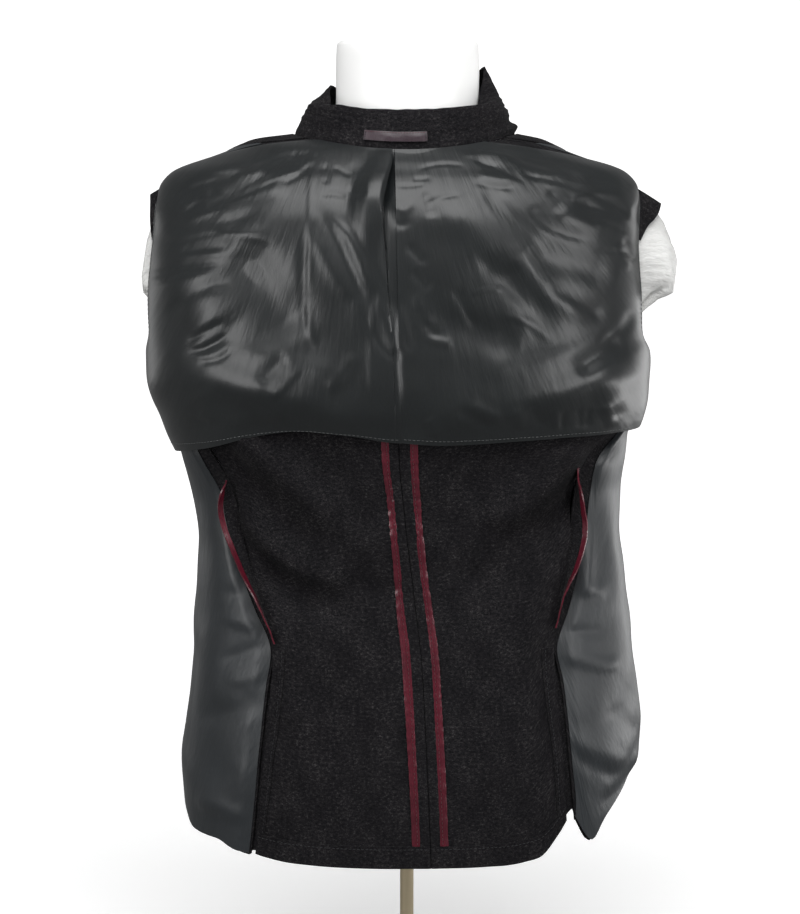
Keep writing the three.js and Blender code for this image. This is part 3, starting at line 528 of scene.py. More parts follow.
def wall_faces(outer, inner, closed):
    """The faces of a wall: its outside, its inside and its rim."""
    faces = [
        skin(outer),
        quads(inner[:-1, :-1], inner[1:, :-1], inner[1:, 1:], inner[:-1, 1:]),
        quads(outer[0, 1:], outer[0, :-1], inner[0, :-1], inner[0, 1:]),
        quads(outer[-1, :-1], outer[-1, 1:], inner[-1, 1:], inner[-1, :-1]),
    ]
    if not closed:
        faces.append(quads(outer[:-1, 0], outer[1:, 0], inner[1:, 0], inner[:-1, 0]))
        faces.append(quads(outer[1:, -1], outer[:-1, -1], inner[:-1, -1], inner[1:, -1]))
    return np.concatenate(faces)


def cloth(name, grid, low, high, finish, node, flow=None):
    """A thin closed shell between two distances from a grid, along its normals."""
    p, n = grid.points, grid.normals
    rows, columns = p.shape[:2]
    index = np.arange(rows * columns).reshape(rows, columns)
    ring = p
    if grid.closed:
        index = np.hstack([index, index[:, :1]])
        ring = np.concatenate([p, p[:, :1]], axis=1)
    across = np.cumsum(lengths(ring.transpose(1, 0, 2)).T, axis=1)
    up = np.cumsum(lengths(ring), axis=0)
    u = np.pad(across, ((0, 0), (1, 0)))
    v = np.pad(up, ((1, 0), (0, 0)))
    flat = np.stack([u - u[:, columns // 2:columns // 2 + 1], v], axis=-1)
    place = np.arange(u.size).reshape(index.shape)
    faces = wall_faces(index, index + rows * columns, grid.closed)
    corners = wall_faces(place, place, grid.closed)
    maps = {"cloth": flat.reshape(-1, 2)[corners]}
    if flow is not None:
        maps["flow"] = flow(ring, flat).reshape(-1, 2)[corners]
    vertices = np.concatenate([(p + n * high).reshape(-1, 3), (p + n * low).reshape(-1, 3)])
    return new_object(name, vertices, faces, finish, maps, node)


def fan(x, z, reach):
    """Folds that run out from a place of the back. Returns a function for the flow of a cloth."""
    def flow(points, flat):
        across, down = points[..., 0] - x, z - points[..., 2]
        return np.stack([np.arctan2(across, down) * reach, np.hypot(across, down)], axis=-1)
    return flow


def slanted(degrees):
    """Folds that run up a cloth, turned by some degrees."""
    turn = math.radians(degrees)
    def flow(points, flat):
        u, v = flat[..., 0], flat[..., 1]
        return np.stack([
            u * math.cos(turn) + v * math.sin(turn), v * math.cos(turn) - u * math.sin(turn)
        ], axis=-1)
    return flow


def filled(made):
    """Closes the open ends of a tube with flat faces."""
    work = bmesh.new()
    work.from_mesh(made.data)
    bmesh.ops.holes_fill(work, edges=[e for e in work.edges if e.is_boundary], sides=0)
    bmesh.ops.recalc_face_normals(work, faces=work.faces)
    work.to_mesh(made.data)
    work.free()
    made.data.set_sharp_from_angle(angle=SHARP_ANGLE)
    return made


def ring_index(points):
    """Numbers the points of rows that run right round, with the first column again at the end."""
    rows, columns = points.shape[:2]
    index = np.arange(rows * columns).reshape(rows, columns)
    return np.hstack([index, index[:, :1]])


def solid(name, points, finish, node):
    """A closed skin over rows of points that run right round."""
    faces = skin(ring_index(points))
    return filled(new_object(name, points.reshape(-1, 3), faces, finish, None, node))


def revolved(profile, steps):
    """The points of a profile, a list of radius and height, turned about the upright axis."""
    profile = np.array(profile, float)
    turn = np.linspace(0, 2 * np.pi, steps, endpoint=False)
    return np.stack([
        profile[:, :1] * np.cos(turn), profile[:, :1] * np.sin(turn),
        np.broadcast_to(profile[:, 1:], (len(profile), steps)),
    ], axis=-1)


def lathe(name, profile, steps, finish, node):
    """A turned piece: its profile is a list of radius and height from the lowest up."""
    return solid(name, revolved(profile, steps), finish, node)


def lathe_ring(name, profile, steps, finish, node):
    """A turned piece with a hole through it: its profile closes on itself."""
    points = revolved(profile, steps)
    index = ring_index(points)
    faces = skin(np.vstack([index, index[:1]]))
    return new_object(name, points.reshape(-1, 3), faces, finish, None, node)


# ------------------------------ creases
def curve_through(points, steps=14):
    """A curve through three points of a plane."""
    start, middle, end = (np.array(p, float) for p in points)
    control = 2 * middle - (start + end) / 2
    t = np.linspace(0, 1, steps)[:, None]
    return (1 - t) ** 2 * start + 2 * t * (1 - t) * control + t**2 * end


STEEPEST = 0.25
CREASE_REACH = 3.2  # a crease is left out further away than this many times its width
CREASE_ENDS = 0.25  # the share of its length over which it fades in and out


def creased(creases, a, b, steepest=STEEPEST):
    """Ridges and troughs along curves over a plane. A positive skew makes one steeper on its right,
    seen along the curve. None is higher than a share of its width."""
    total = np.zeros(a.shape)
    for c in creases.rows:
        line = curve_through([(c["a1"], c["b1"]), (c["a2"], c["b2"]), (c["a3"], c["b3"])])
        reach = CREASE_REACH * c["wide"]
        low, high = line.min(axis=0) - reach, line.max(axis=0) + reach
        near = (a > low[0]) & (a < high[0]) & (b > low[1]) & (b < high[1])
        if not near.any():
            continue
        place = np.stack([a[near], b[near]], axis=-1)[:, None]
        step = np.diff(line, axis=0)
        rest = place - line[None, :-1]
        t = np.clip((rest * step).sum(-1) / (step**2).sum(-1), 0, 1)
        away = rest - t[..., None] * step
        distance = np.linalg.norm(away, axis=-1)
        best = distance.argmin(axis=1)
        pick = np.arange(len(best)), best
        share = (best + t[pick]) / len(step)
        side = np.sign(step[best, 0] * away[pick][:, 1] - step[best, 1] * away[pick][:, 0])
        wide = c["wide"] * (1 + side * c["skew"])
        fade = smooth(np.minimum(share, 1 - share) / CREASE_ENDS)
        high = np.clip(c["high"], -steepest * c["wide"], steepest * c["wide"])
        total[near] += high * fade * np.exp(-((distance[pick] / wide) ** 2))
    return total


def ripples(a, b, high, size, seed, waves=14):
    """Faint unevenness: waves of about one size in all directions."""
    draw = np.random.default_rng(seed)
    total = np.zeros(a.shape)
    for _ in range(waves):
        turn, phase = draw.uniform(0, 2 * np.pi, 2)
        length = size * draw.uniform(0.6, 1.7)
        total += np.sin((a * np.cos(turn) + b * np.sin(turn)) * 2 * np.pi / length + phase)
    return total * high / math.sqrt(waves)


# ------------------------------ finishes
def new_material(name, colour, **shader):
    made = bpy.data.materials.new(name)
    made.use_nodes = True
    surface = made.node_tree.nodes["Principled BSDF"]
    surface.inputs["Base Color"].default_value = (*colour, 1)
    for key, value in shader.items():
        surface.inputs[key.replace("_", " ")].default_value = value
    return made


def put(tree, kind, links=(), **settings):
    """Adds a shader node, with settings for its sockets or itself, and links into its sockets."""
    made = tree.nodes.new(kind)
    for key, value in settings.items():
        socket = made.inputs.get(key.replace("_", " "))
        if socket is not None and not hasattr(type(made), key):
            socket.default_value = value
        else:
            setattr(made, key, value)
    for key, source in dict(links).items():
        tree.links.new(source, made.inputs[key])
    return made


def cloth_places(tree, across, up, flat_map="cloth"):
    """Places on the flat cloth in metres, scaled so that one unit is a mark's size across and up."""
    flat = put(tree, "ShaderNodeUVMap", uv_map=flat_map)
    scaled = put(tree, "ShaderNodeMapping", {"Vector": flat.outputs["UV"]})
    scaled.inputs["Scale"].default_value = (1000 / across, 1000 / up, 1)
    return scaled.outputs["Vector"]


def noise(tree, places, detail=2.0, roughness=0.5):
    return put(
        tree, "ShaderNodeTexNoise", {"Vector": places}, Scale=1.0, Detail=detail, Roughness=roughness
    ).outputs["Fac"]


def ramp(tree, source, stops):
    made = put(tree, "ShaderNodeValToRGB", {"Fac": source})
    points = made.color_ramp.elements
    while len(points) < len(stops):
        points.new(0.5)
    for point, (place, colour) in zip(points, stops):
        point.position = place
        point.color = (*colour, 1)
    return made.outputs["Color"]


def bump(tree, height, distance, strength=1.0, below=None):
    made = put(tree, "ShaderNodeBump", {"Height": height}, Strength=strength, Distance=distance * MM)
    if below is not None:
        tree.links.new(below, made.inputs["Normal"])
    return made.outputs["Normal"]


def combined(tree, operation, a, b):
    made = put(tree, "ShaderNodeMath", operation=operation)
    for socket, value in zip(made.inputs, (a, b)):
        if isinstance(value, (int, float)):
            socket.default_value = value
        else:
            tree.links.new(value, socket)
    return made.outputs["Value"]


def average(tree, a, b):
    halves = [combined(tree, "MULTIPLY", value, 0.5) for value in (a, b)]
    return combined(tree, "ADD", *halves)


def wool_finish():
    """A charcoal wool with paler flecks among dark fibres."""
    made = new_material(
        "wool_melange", (0.02, 0.02, 0.023), Roughness=0.95, Specular_IOR_Level=0.04,
        Sheen_Weight=0.02, Sheen_Roughness=0.5,
    )
    tree = made.node_tree
    surface = tree.nodes["Principled BSDF"]
    fibres = noise(tree, cloth_places(tree, 1.6, 0.8), detail=3, roughness=0.75)
    flecks = noise(tree, cloth_places(tree, 4.0, 2.6), detail=4, roughness=0.7)
    cloudy = noise(tree, cloth_places(tree, 26, 40), detail=3)
    marled = average(tree, fibres, flecks)
    toned = combined(tree, "ADD", marled, combined(tree, "MULTIPLY", cloudy, 0.16))
    colour = ramp(tree, toned, [
        (0.46, (0.0040, 0.0039, 0.0045)), (0.57, (0.0088, 0.0085, 0.0096)),
        (0.65, (0.0205, 0.0192, 0.0202)), (0.76, (0.070, 0.065, 0.066)),
    ])
    tree.links.new(colour, surface.inputs["Base Color"])
    nap = bump(tree, fibres, 0.12, 0.4)
    tree.links.new(bump(tree, cloudy, 2.4, 0.4, nap), surface.inputs["Normal"])
    return made


def satin_finish(name, dark, light, rough, puckers, size, flat_map="flow", shine=0.5):
    """A smooth cloth with a soft shine, a faint weave and fine creases. size is how far apart the
    creases lie and how long they are."""
    made = new_material(
        name, light, Roughness=rough, Specular_IOR_Level=shine, Sheen_Weight=0.05,
        Sheen_Roughness=0.35, Anisotropic=0.3,
    )
    tree = made.node_tree
    surface = tree.nodes["Principled BSDF"]
    threads = noise(tree, cloth_places(tree, 0.8, 6.0), detail=2, roughness=0.6)
    shade = noise(tree, cloth_places(tree, 60, 90), detail=2)
    colour = ramp(tree, average(tree, threads, shade), [(0.35, dark), (0.65, light)])
    tree.links.new(colour, surface.inputs["Base Color"])
    creases = noise(tree, cloth_places(tree, *size, flat_map), detail=3, roughness=0.55)
    weave = bump(tree, threads, 0.05, 0.3)
    tree.links.new(bump(tree, creases, puckers, 1.0, weave), surface.inputs["Normal"])
    return made


def plain_finish(name, colour, rough, grain=1.5, depth=0.04, **shader):
    """A hard smooth surface with a fine grain in its gloss and its height."""
    made = new_material(name, colour, Roughness=rough, **shader)
    tree = made.node_tree
    surface = tree.nodes["Principled BSDF"]
    place = put(tree, "ShaderNodeTexCoord").outputs["Object"]
    scaled = put(tree, "ShaderNodeMapping", {"Vector": place})
    scaled.inputs["Scale"].default_value = (1000 / grain,) * 3
    wide = put(tree, "ShaderNodeMapping", {"Vector": place})
    wide.inputs["Scale"].default_value = (12, 12, 12)
    fine = noise(tree, scaled.outputs["Vector"], detail=3)
    broad = noise(tree, wide.outputs["Vector"], detail=2)
    worn = tuple(c * 0.93 for c in colour)
    tree.links.new(ramp(tree, broad, [(0.35, worn), (0.65, colour)]), surface.inputs["Base Color"])
    tree.links.new(bump(tree, fine, depth, 0.5), surface.inputs["Normal"])
    return made


FINISH = {
    "wool": (wool_finish(), "wool"),
    "satin": (
        satin_finish(
            "lining_satin", (0.0068, 0.0082, 0.0088), (0.0118, 0.0140, 0.0148), 0.345, 0.75, (10, 75)
        ),
        "satin",
    ),
    "side_satin": (
        satin_finish(
            "side_lining_satin", (0.012, 0.0145, 0.0165), (0.020, 0.0235, 0.027), 0.42, 1.0, (18, 60)
        ),
        "satin",
    ),
    "binding": (
        satin_finish(
            "burgundy_satin", (0.036, 0.0026, 0.0065), (0.105, 0.0075, 0.0185), 0.27, 0.5, (4, 5), "cloth"
        ),
        "binding",
    ),
    "loop": (
        satin_finish(
            "mauve_satin", (0.020, 0.011, 0.016), (0.044, 0.025, 0.034), 0.36, 0.4, (5, 7), "cloth"
        ),
        "loop_satin",
    ),
    "ivory": (
        satin_finish(
            "ivory_satin", (0.56, 0.56, 0.55), (0.70, 0.70, 0.685), 0.42, 3.4, (9, 40)
        ),
        "sleeve_satin",
    ),
    "form": (plain_finish("form_cover", (0.95, 0.95, 0.94), 0.5, 0.9, 0.06), "form_cover"),
    "paint": (plain_finish("powder_coat", (0.80, 0.79, 0.77), 0.42, 0.7, 0.08), "base_paint"),
    "brass": (
        plain_finish("pale_brass", (0.66, 0.56, 0.38), 0.32, 0.5, 0.02, Metallic=0.85), "brass"
    ),
    "horn": (
        plain_finish("dark_horn", (0.03, 0.022, 0.020), 0.25, 3.0, 0.05, Coat_Weight=0.4), "horn"
    ),
    "thread": (plain_finish("grey_thread", (0.10, 0.105, 0.105), 0.6, 0.4, 0.03), "satin"),
    "dark_thread": (plain_finish("dark_thread", (0.012, 0.012, 0.014), 0.7, 0.4, 0.03), "wool"),
    "red_thread": (plain_finish("burgundy_thread", (0.055, 0.005, 0.011), 0.6, 0.4, 0.03), "binding"),
}


# ------------------------------ stitches
def stitches(name, grid, pick, rise, finish, long=3.0, gap=1.4, thick=0.5, lift=0.25):
    """A row of short raised threads along one line of a grid, at a height above it."""
    normals = grid.normals[pick]
    line = grid.points[pick] + normals * rise
    far = np.concatenate([[0], np.cumsum(np.linalg.norm(np.diff(line, axis=0), axis=1))])
    starts = np.arange(gap, far[-1] - long - gap, long + gap)
    shares = np.array([0, 0.25, 0.75, 1.0])
    arch = np.array([-0.4, 1.0, 1.0, -0.4]) * lift
    width = np.array([0.5, 1.0, 1.0, 0.5]) * thick / 2
    at = starts[:, None] + shares[None] * long
    def read(values):
        return np.stack([np.interp(at, far, values[:, k]) for k in range(3)], axis=-1)
    centre, up = read(line), unit(read(normals))
    ahead = unit(centre[:, -1] - centre[:, 0])[:, None]
    aside = unit(np.cross(ahead, up))
    centre = centre + up * arch[None, :, None]
    angles = np.linspace(0, 2 * np.pi, 5, endpoint=False)
    rings = centre[:, :, None] + width[None, :, None, None] * (
        np.cos(angles)[None, None, :, None] * aside[:, :, None]
        + np.sin(angles)[None, None, :, None] * up[:, :, None]
    )
    count, steps, sides = rings.shape[:3]
    index = np.arange(count * steps * sides).reshape(count, steps, sides)
    after = np.roll(index, -1, axis=2)
    faces = quads(index[:, :-1], after[:, :-1], after[:, 1:], index[:, 1:])
    return filled(new_object(name, rings.reshape(-1, 3), faces, finish))


# ------------------------------ back panels
BACK_SPANS = 6
FINE = 3.6  # longest step of a wool panel's grid
WOOL_STEEPEST = 0.65
# Creases of the wool, by distance across and height.
WOOL_CREASES = crease_table([
    (-214, 660, -160, 590, -96, 520, -8.0, 15, 0.2),
    (-196, 672, -128, 612, -52, 540, 11.0, 19),
    (-176, 584, -128, 522, -50, 496, 13.0, 20, 0.2),
    (-158, 520, -112, 474, -40, 468, -5.0, 15, 0.2),
    (-90, 560, -30, 540, 30, 560, 5.0, 22),
    (-70, 500, -30, 486, 6, 490, -4.0, 15),
    (-140, 470, -128, 400, -120, 320, 3.0, 22),
    (206, 640, 176, 575, 126, 530, -6.0, 15, -0.2),
    (186, 656, 140, 596, 70, 552, 12.5, 20),
    (30, 520, 70, 500, 120, 520, -3.5, 18),
    (160, 520, 140, 470, 128, 420, 3.0, 18),
    (120, 650, 90, 610, 50, 585, -3.0, 18),
    (-30, 640, -50, 600, -84, 570, 3.0, 18),
    (90, 400, 78, 330, 84, 250, 3.0, 26),
    (-80, 420, -62, 340, -66, 250, -3.0, 26),
    (-150, 330, -120, 300, -60, 290, 2.0, 18),
])
# Puckers of the bindings, as waves along their length: size and height by height above the floor.
BINDING_PUCKER = Table("z size high", [
    (200, 40, 0.4), (330, 28, 0.5), (430, 20, 0.6), (500, 14, 0.8), (560, 11, 1.0), (620, 15, 0.8),
    (720, 24, 0.5),
])


def back_seam(name, z):
    return np.abs(back_bearing(SEAMS.read(z, name), z))


def panel_edge(armhole, z, seam):
    """The outer edge of a panel: a seam, above it the armhole, and at the top the shoulder seam."""
    shoulder = SHOULDER_SEAM.read(z, "bearing")
    upper = np.where(z < SHOULDER_TIP, ARMHOLE.read(z, armhole), shoulder)
    return np.where(z < CORNER, seam, upper)


def back_edge(name, z):
    return panel_edge(name + "_back", z, back_seam(name, z))


def uneven(grid, seed):
    """The faint unevenness of a wool panel."""
    x, y, z = grid.axes()
    return ripples(np.arctan2(x, -y) * BODY_REACH, z, 0.35, 60, seed)


def wool_relief(grid):
    x, y, z = grid.axes()
    behind = smooth(-y / 40)
    return grid.raised(creased(WOOL_CREASES, x, z, WOOL_STEEPEST) * behind + uneven(grid, 3))


def puckered(grid, shift):
    """Small waves along a binding, over a rounded crown."""
    z = grid.points[..., 2]
    share = np.linspace(0, 1, grid.points.shape[1])[None, :]
    size, high = BINDING_PUCKER.read(z, "size"), BINDING_PUCKER.read(z, "high")
    slant = share * 4.0
    wave = np.sin((z + slant + shift) * 2 * np.pi / size)
    wave = wave + 0.5 * np.sin((z * 1.7 - slant + shift) * 2 * np.pi / size)
    crown = np.sin(np.pi * share) ** 0.6
    return grid.raised(wave * high * (0.35 + 0.65 * crown) + 0.5 * crown)


def build_back(name, side):
    """A back panel with what lies on it: allowance, binding, turned edges and their stitches."""
    z = HEIGHTS[:, None]
    centre = side * back_bearing(SEAMS.read(z, "centre"), z)
    near, bound = along(centre, z, ALLOWANCE), along(centre, z, BOUND)
    edge = back_edge(name, z)
    facing = along(edge, z, -VENT_FACING)
    middle = [mix(bound, facing, i / BACK_SPANS) for i in range(1, BACK_SPANS)]
    bearings = np.hstack([centre, near, bound, *middle, facing, edge])
    panel = wool_relief(Grid(faced(side, body_point(side * bearings, z)), FINE))
    last = len(panel.columns) - 1

    def part(rows, start, end):
        return panel.block(rows, side_columns(panel, side, start, end))

    allowance = part((1, BOUND_ROW), 0, 1).trimmed(side, 3 * SEAM, SEAM, bottom=GAP)
    binding = part((1, BOUND_ROW), 1, 2).trimmed(side, SEAM, SEAM, bottom=GAP)
    binding = puckered(binding, 7 * side)
    turned = part((0, 1), 0, last).trimmed(side, 3 * SEAM, SEAM)
    vent = part((1, VENT_ROW), last - 1, last).trimmed(side, 0, SEAM, bottom=GAP)
    strips = [
        cloth(f"{label}_{name}", grid, GAP, GAP + thick, finish, f"{node}_{name}")
        for label, grid, thick, finish, node in (
            ("allowance_strip", allowance, STRIP, "wool", "centre_allowance"),
            ("bound_strip", binding, BINDING, "binding", "centre_binding"),
            ("turned_hem", turned, STRIP, "wool", "hem_facing"),
            ("turned_vent", vent, STRIP, "wool", "vent_facing"),
        )
    ]
    inner = 1 if side > 0 else -2
    strips += [
        stitches(f"stitches_{label}_{name}", grid, pick, GAP + rise, finish)
        for label, grid, pick, rise, finish in (
            ("seam_side", binding, np.s_[:, inner], BINDING, "red_thread"),
            ("vent_edge", vent, np.s_[:, inner], BINDING, "dark_thread"),
            ("hem", turned, -2, STRIP, "dark_thread"),
        )
    ]
    panel.trimmed(side, 0, SEAM, top=SEAM)
    made = cloth(f"back_cloth_{name}", panel, -WOOL, 0, "wool", f"back_{name}")
    declare(made, ["torso_form"], strips)


# ------------------------------ side panels
SIDE_SPANS = 14
TOP_SHARES = np.array([0, *np.linspace(0.12, 1, SIDE_SPANS + 1)])
# Creases of the side linings, by depth (towards the front) and height.
SIDE_CREASES = {
    "left": crease_table([
        (-96, 640, -84, 560, -66, 470, 3.0, 14, 0.2),
        (-70, 650, -62, 560, -70, 470, -2.4, 10),
        (-100, 566, -88, 526, -60, 504, 2.2, 8, 0.3),
        (-108, 520, -84, 488, -58, 470, -2.0, 8, 0.2),
        (-106, 452, -86, 448, -58, 456, 1.8, 7),
        (-112, 470, -92, 430, -60, 400, -1.6, 7),
        (-100, 236, -74, 250, -50, 240, 2.0, 9),
        (-116, 430, -94, 398, -70, 384, 1.2, 6),
        (-104, 380, -80, 352, -40, 340, -2.2, 12, 0.2),
        (-110, 310, -90, 270, -52, 250, 2.0, 16),
        (-30, 430, -20, 350, -40, 270, -2.4, 18),
        (-52, 560, -60, 450, -56, 320, 2.2, 20),
        (0, 640, 10, 520, 0, 400, 3.0, 20),
        (30, 600, 26, 480, 36, 360, -3.0, 18),
    ]),
    "right": crease_table([
        (-90, 600, -80, 530, -62, 470, 2.4, 14),
        (-62, 620, -56, 540, -64, 460, -2.4, 10, 0.2),
        (-98, 524, -76, 490, -48, 474, 2.0, 8, 0.2),
        (-92, 424, -70, 402, -46, 398, 1.8, 7, 0.2),
        (-84, 250, -60, 262, -30, 286, -2.2, 9),
        (-106, 452, -84, 440, -56, 436, -1.6, 7),
        (-104, 340, -76, 304, -44, 288, 2.6, 8, 0.3),
        (-108, 326, -82, 292, -56, 276, -2.0, 7),
        (-70, 360, -48, 330, -20, 320, -2.0, 12),
        (-30, 560, -40, 450, -30, 350, 2.6, 20),
        (-40, 300, -20, 282, 0, 284, 2.4, 10),
        (0, 620, 12, 500, 4, 390, 3.0, 20),
        (34, 600, 30, 480, 40, 380, -3.0, 18),
    ]),
}
# How far each fin stands out, and how many degrees it leans.
FIN = {
    "left": Table("z wide lean", [
        (430, 5, -30), (463, 8, -14), (500, 12, 24), (540, 17, 42), (570, 18, 40), (590, 13, 6),
        (602, 8, -40),
    ]),
    "right": Table("z wide lean", [
        (446, 5, -30), (480, 10, -22), (510, 13, 8), (545, 14, 26), (575, 13, 6), (596, 11, -18),
        (616, 8, -50),
    ]),
}
FIN_ROWS = 16
FIN_ROOT = 3  # the fin starts this far out of the seam
FIN_BINDING = 6.5
FIN_FINE, FIN_BINDING_FINE = 2.0, 1.4
FIN_HALF, FIN_BINDING_HALF = 0.6, 0.75  # half of their thickness
FIN_WAVE, FIN_WAVE_HIGH = 17, 0.15
SIDE_OFF = 3.2  # how far the side lining stands off the wool
SIDE_FADE = 3  # over so many columns it comes down to its edges
SIDE_CALM, SIDE_CALM_OVER = 690, 60  # its creases fade out towards this height
SIDE_SLANT = 14


def armhole_bottom(name, bearing):
    """The height of the armhole's lower edge, which rises from the armpit to both corners."""
    back, front = (ARMHOLE.read(CORNER, name + edge) for edge in ("_back", "_front"))
    edge = np.where(bearing < 90, back, front)
    return ARMPIT + (CORNER - ARMPIT) * ((bearing - 90) / (edge - 90)) ** 2


def vent_edge(name, z):
    """The side panel's back edge: the side seam, and below it the far side of the open vent."""
    return along(back_seam(name, z), z, np.where(z < VENT_TOP, VENT_GAP.read(z, name), 0))


def side_relief(grid, name, share):
    _, y, z = grid.axes()
    calm = smooth((SIDE_CALM - z) / SIDE_CALM_OVER)
    relief = creased(SIDE_CREASES[name], y, z) + ripples(y, z, 0.5, 80, 9)
    return grid.raised(relief * calm * share)


def build_side(name, side):
    """A side panel with its lining, and the underlap that runs behind the vent."""
    z = HEIGHTS[:CORNER_ROW, None]
    edge = vent_edge(name, z)
    lined = along(edge, z, LINING_MARGIN.read(z, "wide"))
    seam = FRONT_SIDE_SEAM.read(z, "bearing")
    spans = [mix(lined, seam, i / SIDE_SPANS) for i in range(SIDE_SPANS + 1)]
    bearings = np.hstack([edge, *spans])
    top = mix(*(ARMHOLE.read(CORNER, name + edge) for edge in ("_back", "_front")), TOP_SHARES)
    upper = body_point(side * top, armhole_bottom(name, top))[None]
    coarse = np.concatenate([body_point(side * bearings, z), upper])
    panel = Grid(faced(side, coarse), FINE)
    last = len(panel.columns) - 1
    lining = panel.block((0, len(panel.rows) - 1), side_columns(panel, side, 1, last))
    fade = np.minimum(np.arange(lining.points.shape[1]), SIDE_FADE) / SIDE_FADE
    fade = np.minimum(fade, fade[::-1])
    side_relief(lining, name, fade[None])
    lining.points += lining.normals * (GAP + SIDE_OFF * fade[None, :, None])
    lining.face()
    lining.trimmed(side, 0, SEAM, bottom=2, top=SEAM)
    flow = slanted(SIDE_SLANT * side)
    shown = cloth(f"side_satin_{name}", lining, 0, SATIN, "side_satin", f"side_lining_{name}", flow)
    declare(shown, [f"side_cloth_{name}"])
    panel.trimmed(side, SEAM, SEAM)
    made = cloth(f"side_cloth_{name}", panel, -WOOL, 0, "wool", f"side_{name}")

    z = HEIGHTS[:VENT_ROW + 1, None]
    reach = (-UNDERLAP, -UNDERLAP / 2, 0, LAP_PAST)
    lap = np.hstack([along(vent_edge(name, z), z, distance) for distance in reach])
    laps = Grid(faced(side, body_point(side * lap, z)), FINE).trimmed(bottom=LAP_SHORT)
    below = -WOOL - 3 * GAP
    lapped = cloth(f"vent_lap_{name}", laps, below - LAP_THICK, below, "wool", f"vent_underlap_{name}")
    declare(made, ["torso_form"], [lapped])


def build_fin(name, side):
    """The side seam's allowance stands out from the seam and leans, with its edge bound."""
    rows = FIN[name]
    z = np.linspace(rows.at[0], rows.at[-1], FIN_ROWS + 1)
    bearing = side * back_seam(name, z)
    place, normal = body_point(bearing, z), body_normal(bearing, z)
    sideways = unit(body_point(bearing + side, z) - place)
    lean = np.radians(rows.read(z, "lean"))[:, None]
    direction = unit(normal * np.cos(lean) + sideways * np.sin(lean))
    wide = rows.read(z, "wide")
    def at(*distances):
        line = [place + direction * np.reshape(d, (-1, 1)) for d in distances]
        return np.stack(line if side > 0 else line[::-1], axis=1)
    root = np.full_like(wide, FIN_ROOT)
    inner = Grid(at(root, (root + wide) / 2, wide), FIN_FINE)
    edge = at(wide + 2 * GAP, wide + FIN_BINDING / 2, wide + FIN_BINDING)
    outer = Grid(edge, FIN_BINDING_FINE)
    outer.raised(np.sin(outer.points[..., 2] * 2 * np.pi / FIN_WAVE) * FIN_WAVE_HIGH)
    fin, bound = (
        cloth(f"{label}_{name}", grid, -half, half, finish, f"{node}_{name}")
        for label, grid, half, finish, node in (
            ("side_fin", inner, FIN_HALF, "wool", "side_allowance"),
            ("side_fin_edge", outer, FIN_BINDING_HALF, "binding", "side_binding"),
        )
    )
    declare(fin, [f"back_cloth_{name}"], [bound])


# ------------------------------ fronts
FRONT_SPANS = 4
FACING_SPANS = 6
FRONT_FINE = 5.0
FRONT_OFF = 2.4  # how far the front lining stands off the wool
FRONT_FADE = 4  # over so many rows and columns it comes down to its edges
FRONT_CALM, FRONT_CALM_OVER = 940, 60  # it comes down to the wool towards this height
FRONT_SLANT = -10
# Creases of the front linings, by distance across (away from the centre) and height.
FRONT_CREASES = crease_table([
    (200, 690, 170, 620, 130, 560, 3.0, 13, 0.2),
    (190, 640, 160, 560, 120, 500, -3.0, 10),
    (180, 520, 150, 440, 110, 400, 2.6, 14),
    (200, 430, 170, 380, 120, 340, -2.8, 12, 0.2),
    (200, 360, 170, 320, 120, 300, 2.4, 13),
    (190, 860, 150, 820, 120, 780, 2.6, 14),
    (200, 820, 170, 780, 130, 720, -2.4, 12),
    (110, 850, 100, 760, 96, 660, 1.8, 16),
])


def build_front(name, side):
    """A front panel with its facing and its lining."""
    z = HEIGHTS[:, None]
    seam = panel_edge(name + "_front", z, FRONT_SIDE_SEAM.read(z, "bearing"))
    facing = FACING_EDGE.read(z, "bearing")
    edge = np.abs(front_bearing(side, FRONT_EDGE.read(z, "half"), z))
    columns = [mix(seam, facing, i / FRONT_SPANS) for i in range(FRONT_SPANS)]
    columns += [mix(facing, edge, (i / FACING_SPANS) ** 1.3) for i in range(FACING_SPANS + 1)]
    panel = Grid(faced(side, body_point(side * np.hstack(columns), z)), FRONT_FINE)
    panel.raised(uneven(panel, 4))
    end = len(panel.columns) - 1
    turned = panel.block((0, len(HEIGHTS) - 1), side_columns(panel, side, FRONT_SPANS, end))
    turned.trimmed(side, GAP, 0, top=SEAM)
    facing_cloth = cloth(f"facing_cloth_{name}", turned, GAP, GAP + STRIP, "wool", f"facing_{name}")
    lining = panel.block((0, BELOW_NECK_ROW), side_columns(panel, side, 0, FRONT_SPANS))
    rows, columns = (np.arange(count) for count in lining.points.shape[:2])
    rise = np.minimum(columns, FRONT_FADE) / FRONT_FADE
    rise = np.minimum(rise, rise[::-1])[None]
    rise = rise * np.minimum(rows, FRONT_FADE)[:, None] / FRONT_FADE
    x, _, up = lining.axes()
    relief = creased(FRONT_CREASES, np.abs(x), up) + FRONT_OFF + ripples(x, up, 0.5, 44, 6)
    shy = smooth((FRONT_CALM - up) / FRONT_CALM_OVER)
    lining.raised(np.maximum(relief * rise * shy, 0) + GAP)
    lining.trimmed(side, 1.2, GAP, bottom=6, top=SEAM)
    flow = slanted(FRONT_SLANT * side)
    shown = cloth(
        f"front_satin_{name}", lining, 0, SATIN, "side_satin", f"front_lining_{name}", flow
    )
    declare(shown, [f"front_cloth_{name}"])
    panel.trimmed(side, SEAM, 0, top=SEAM)
    made = cloth(f"front_cloth_{name}", panel, -WOOL, 0, "wool", f"front_{name}")
    declare(made, ["torso_form"], [facing_cloth])


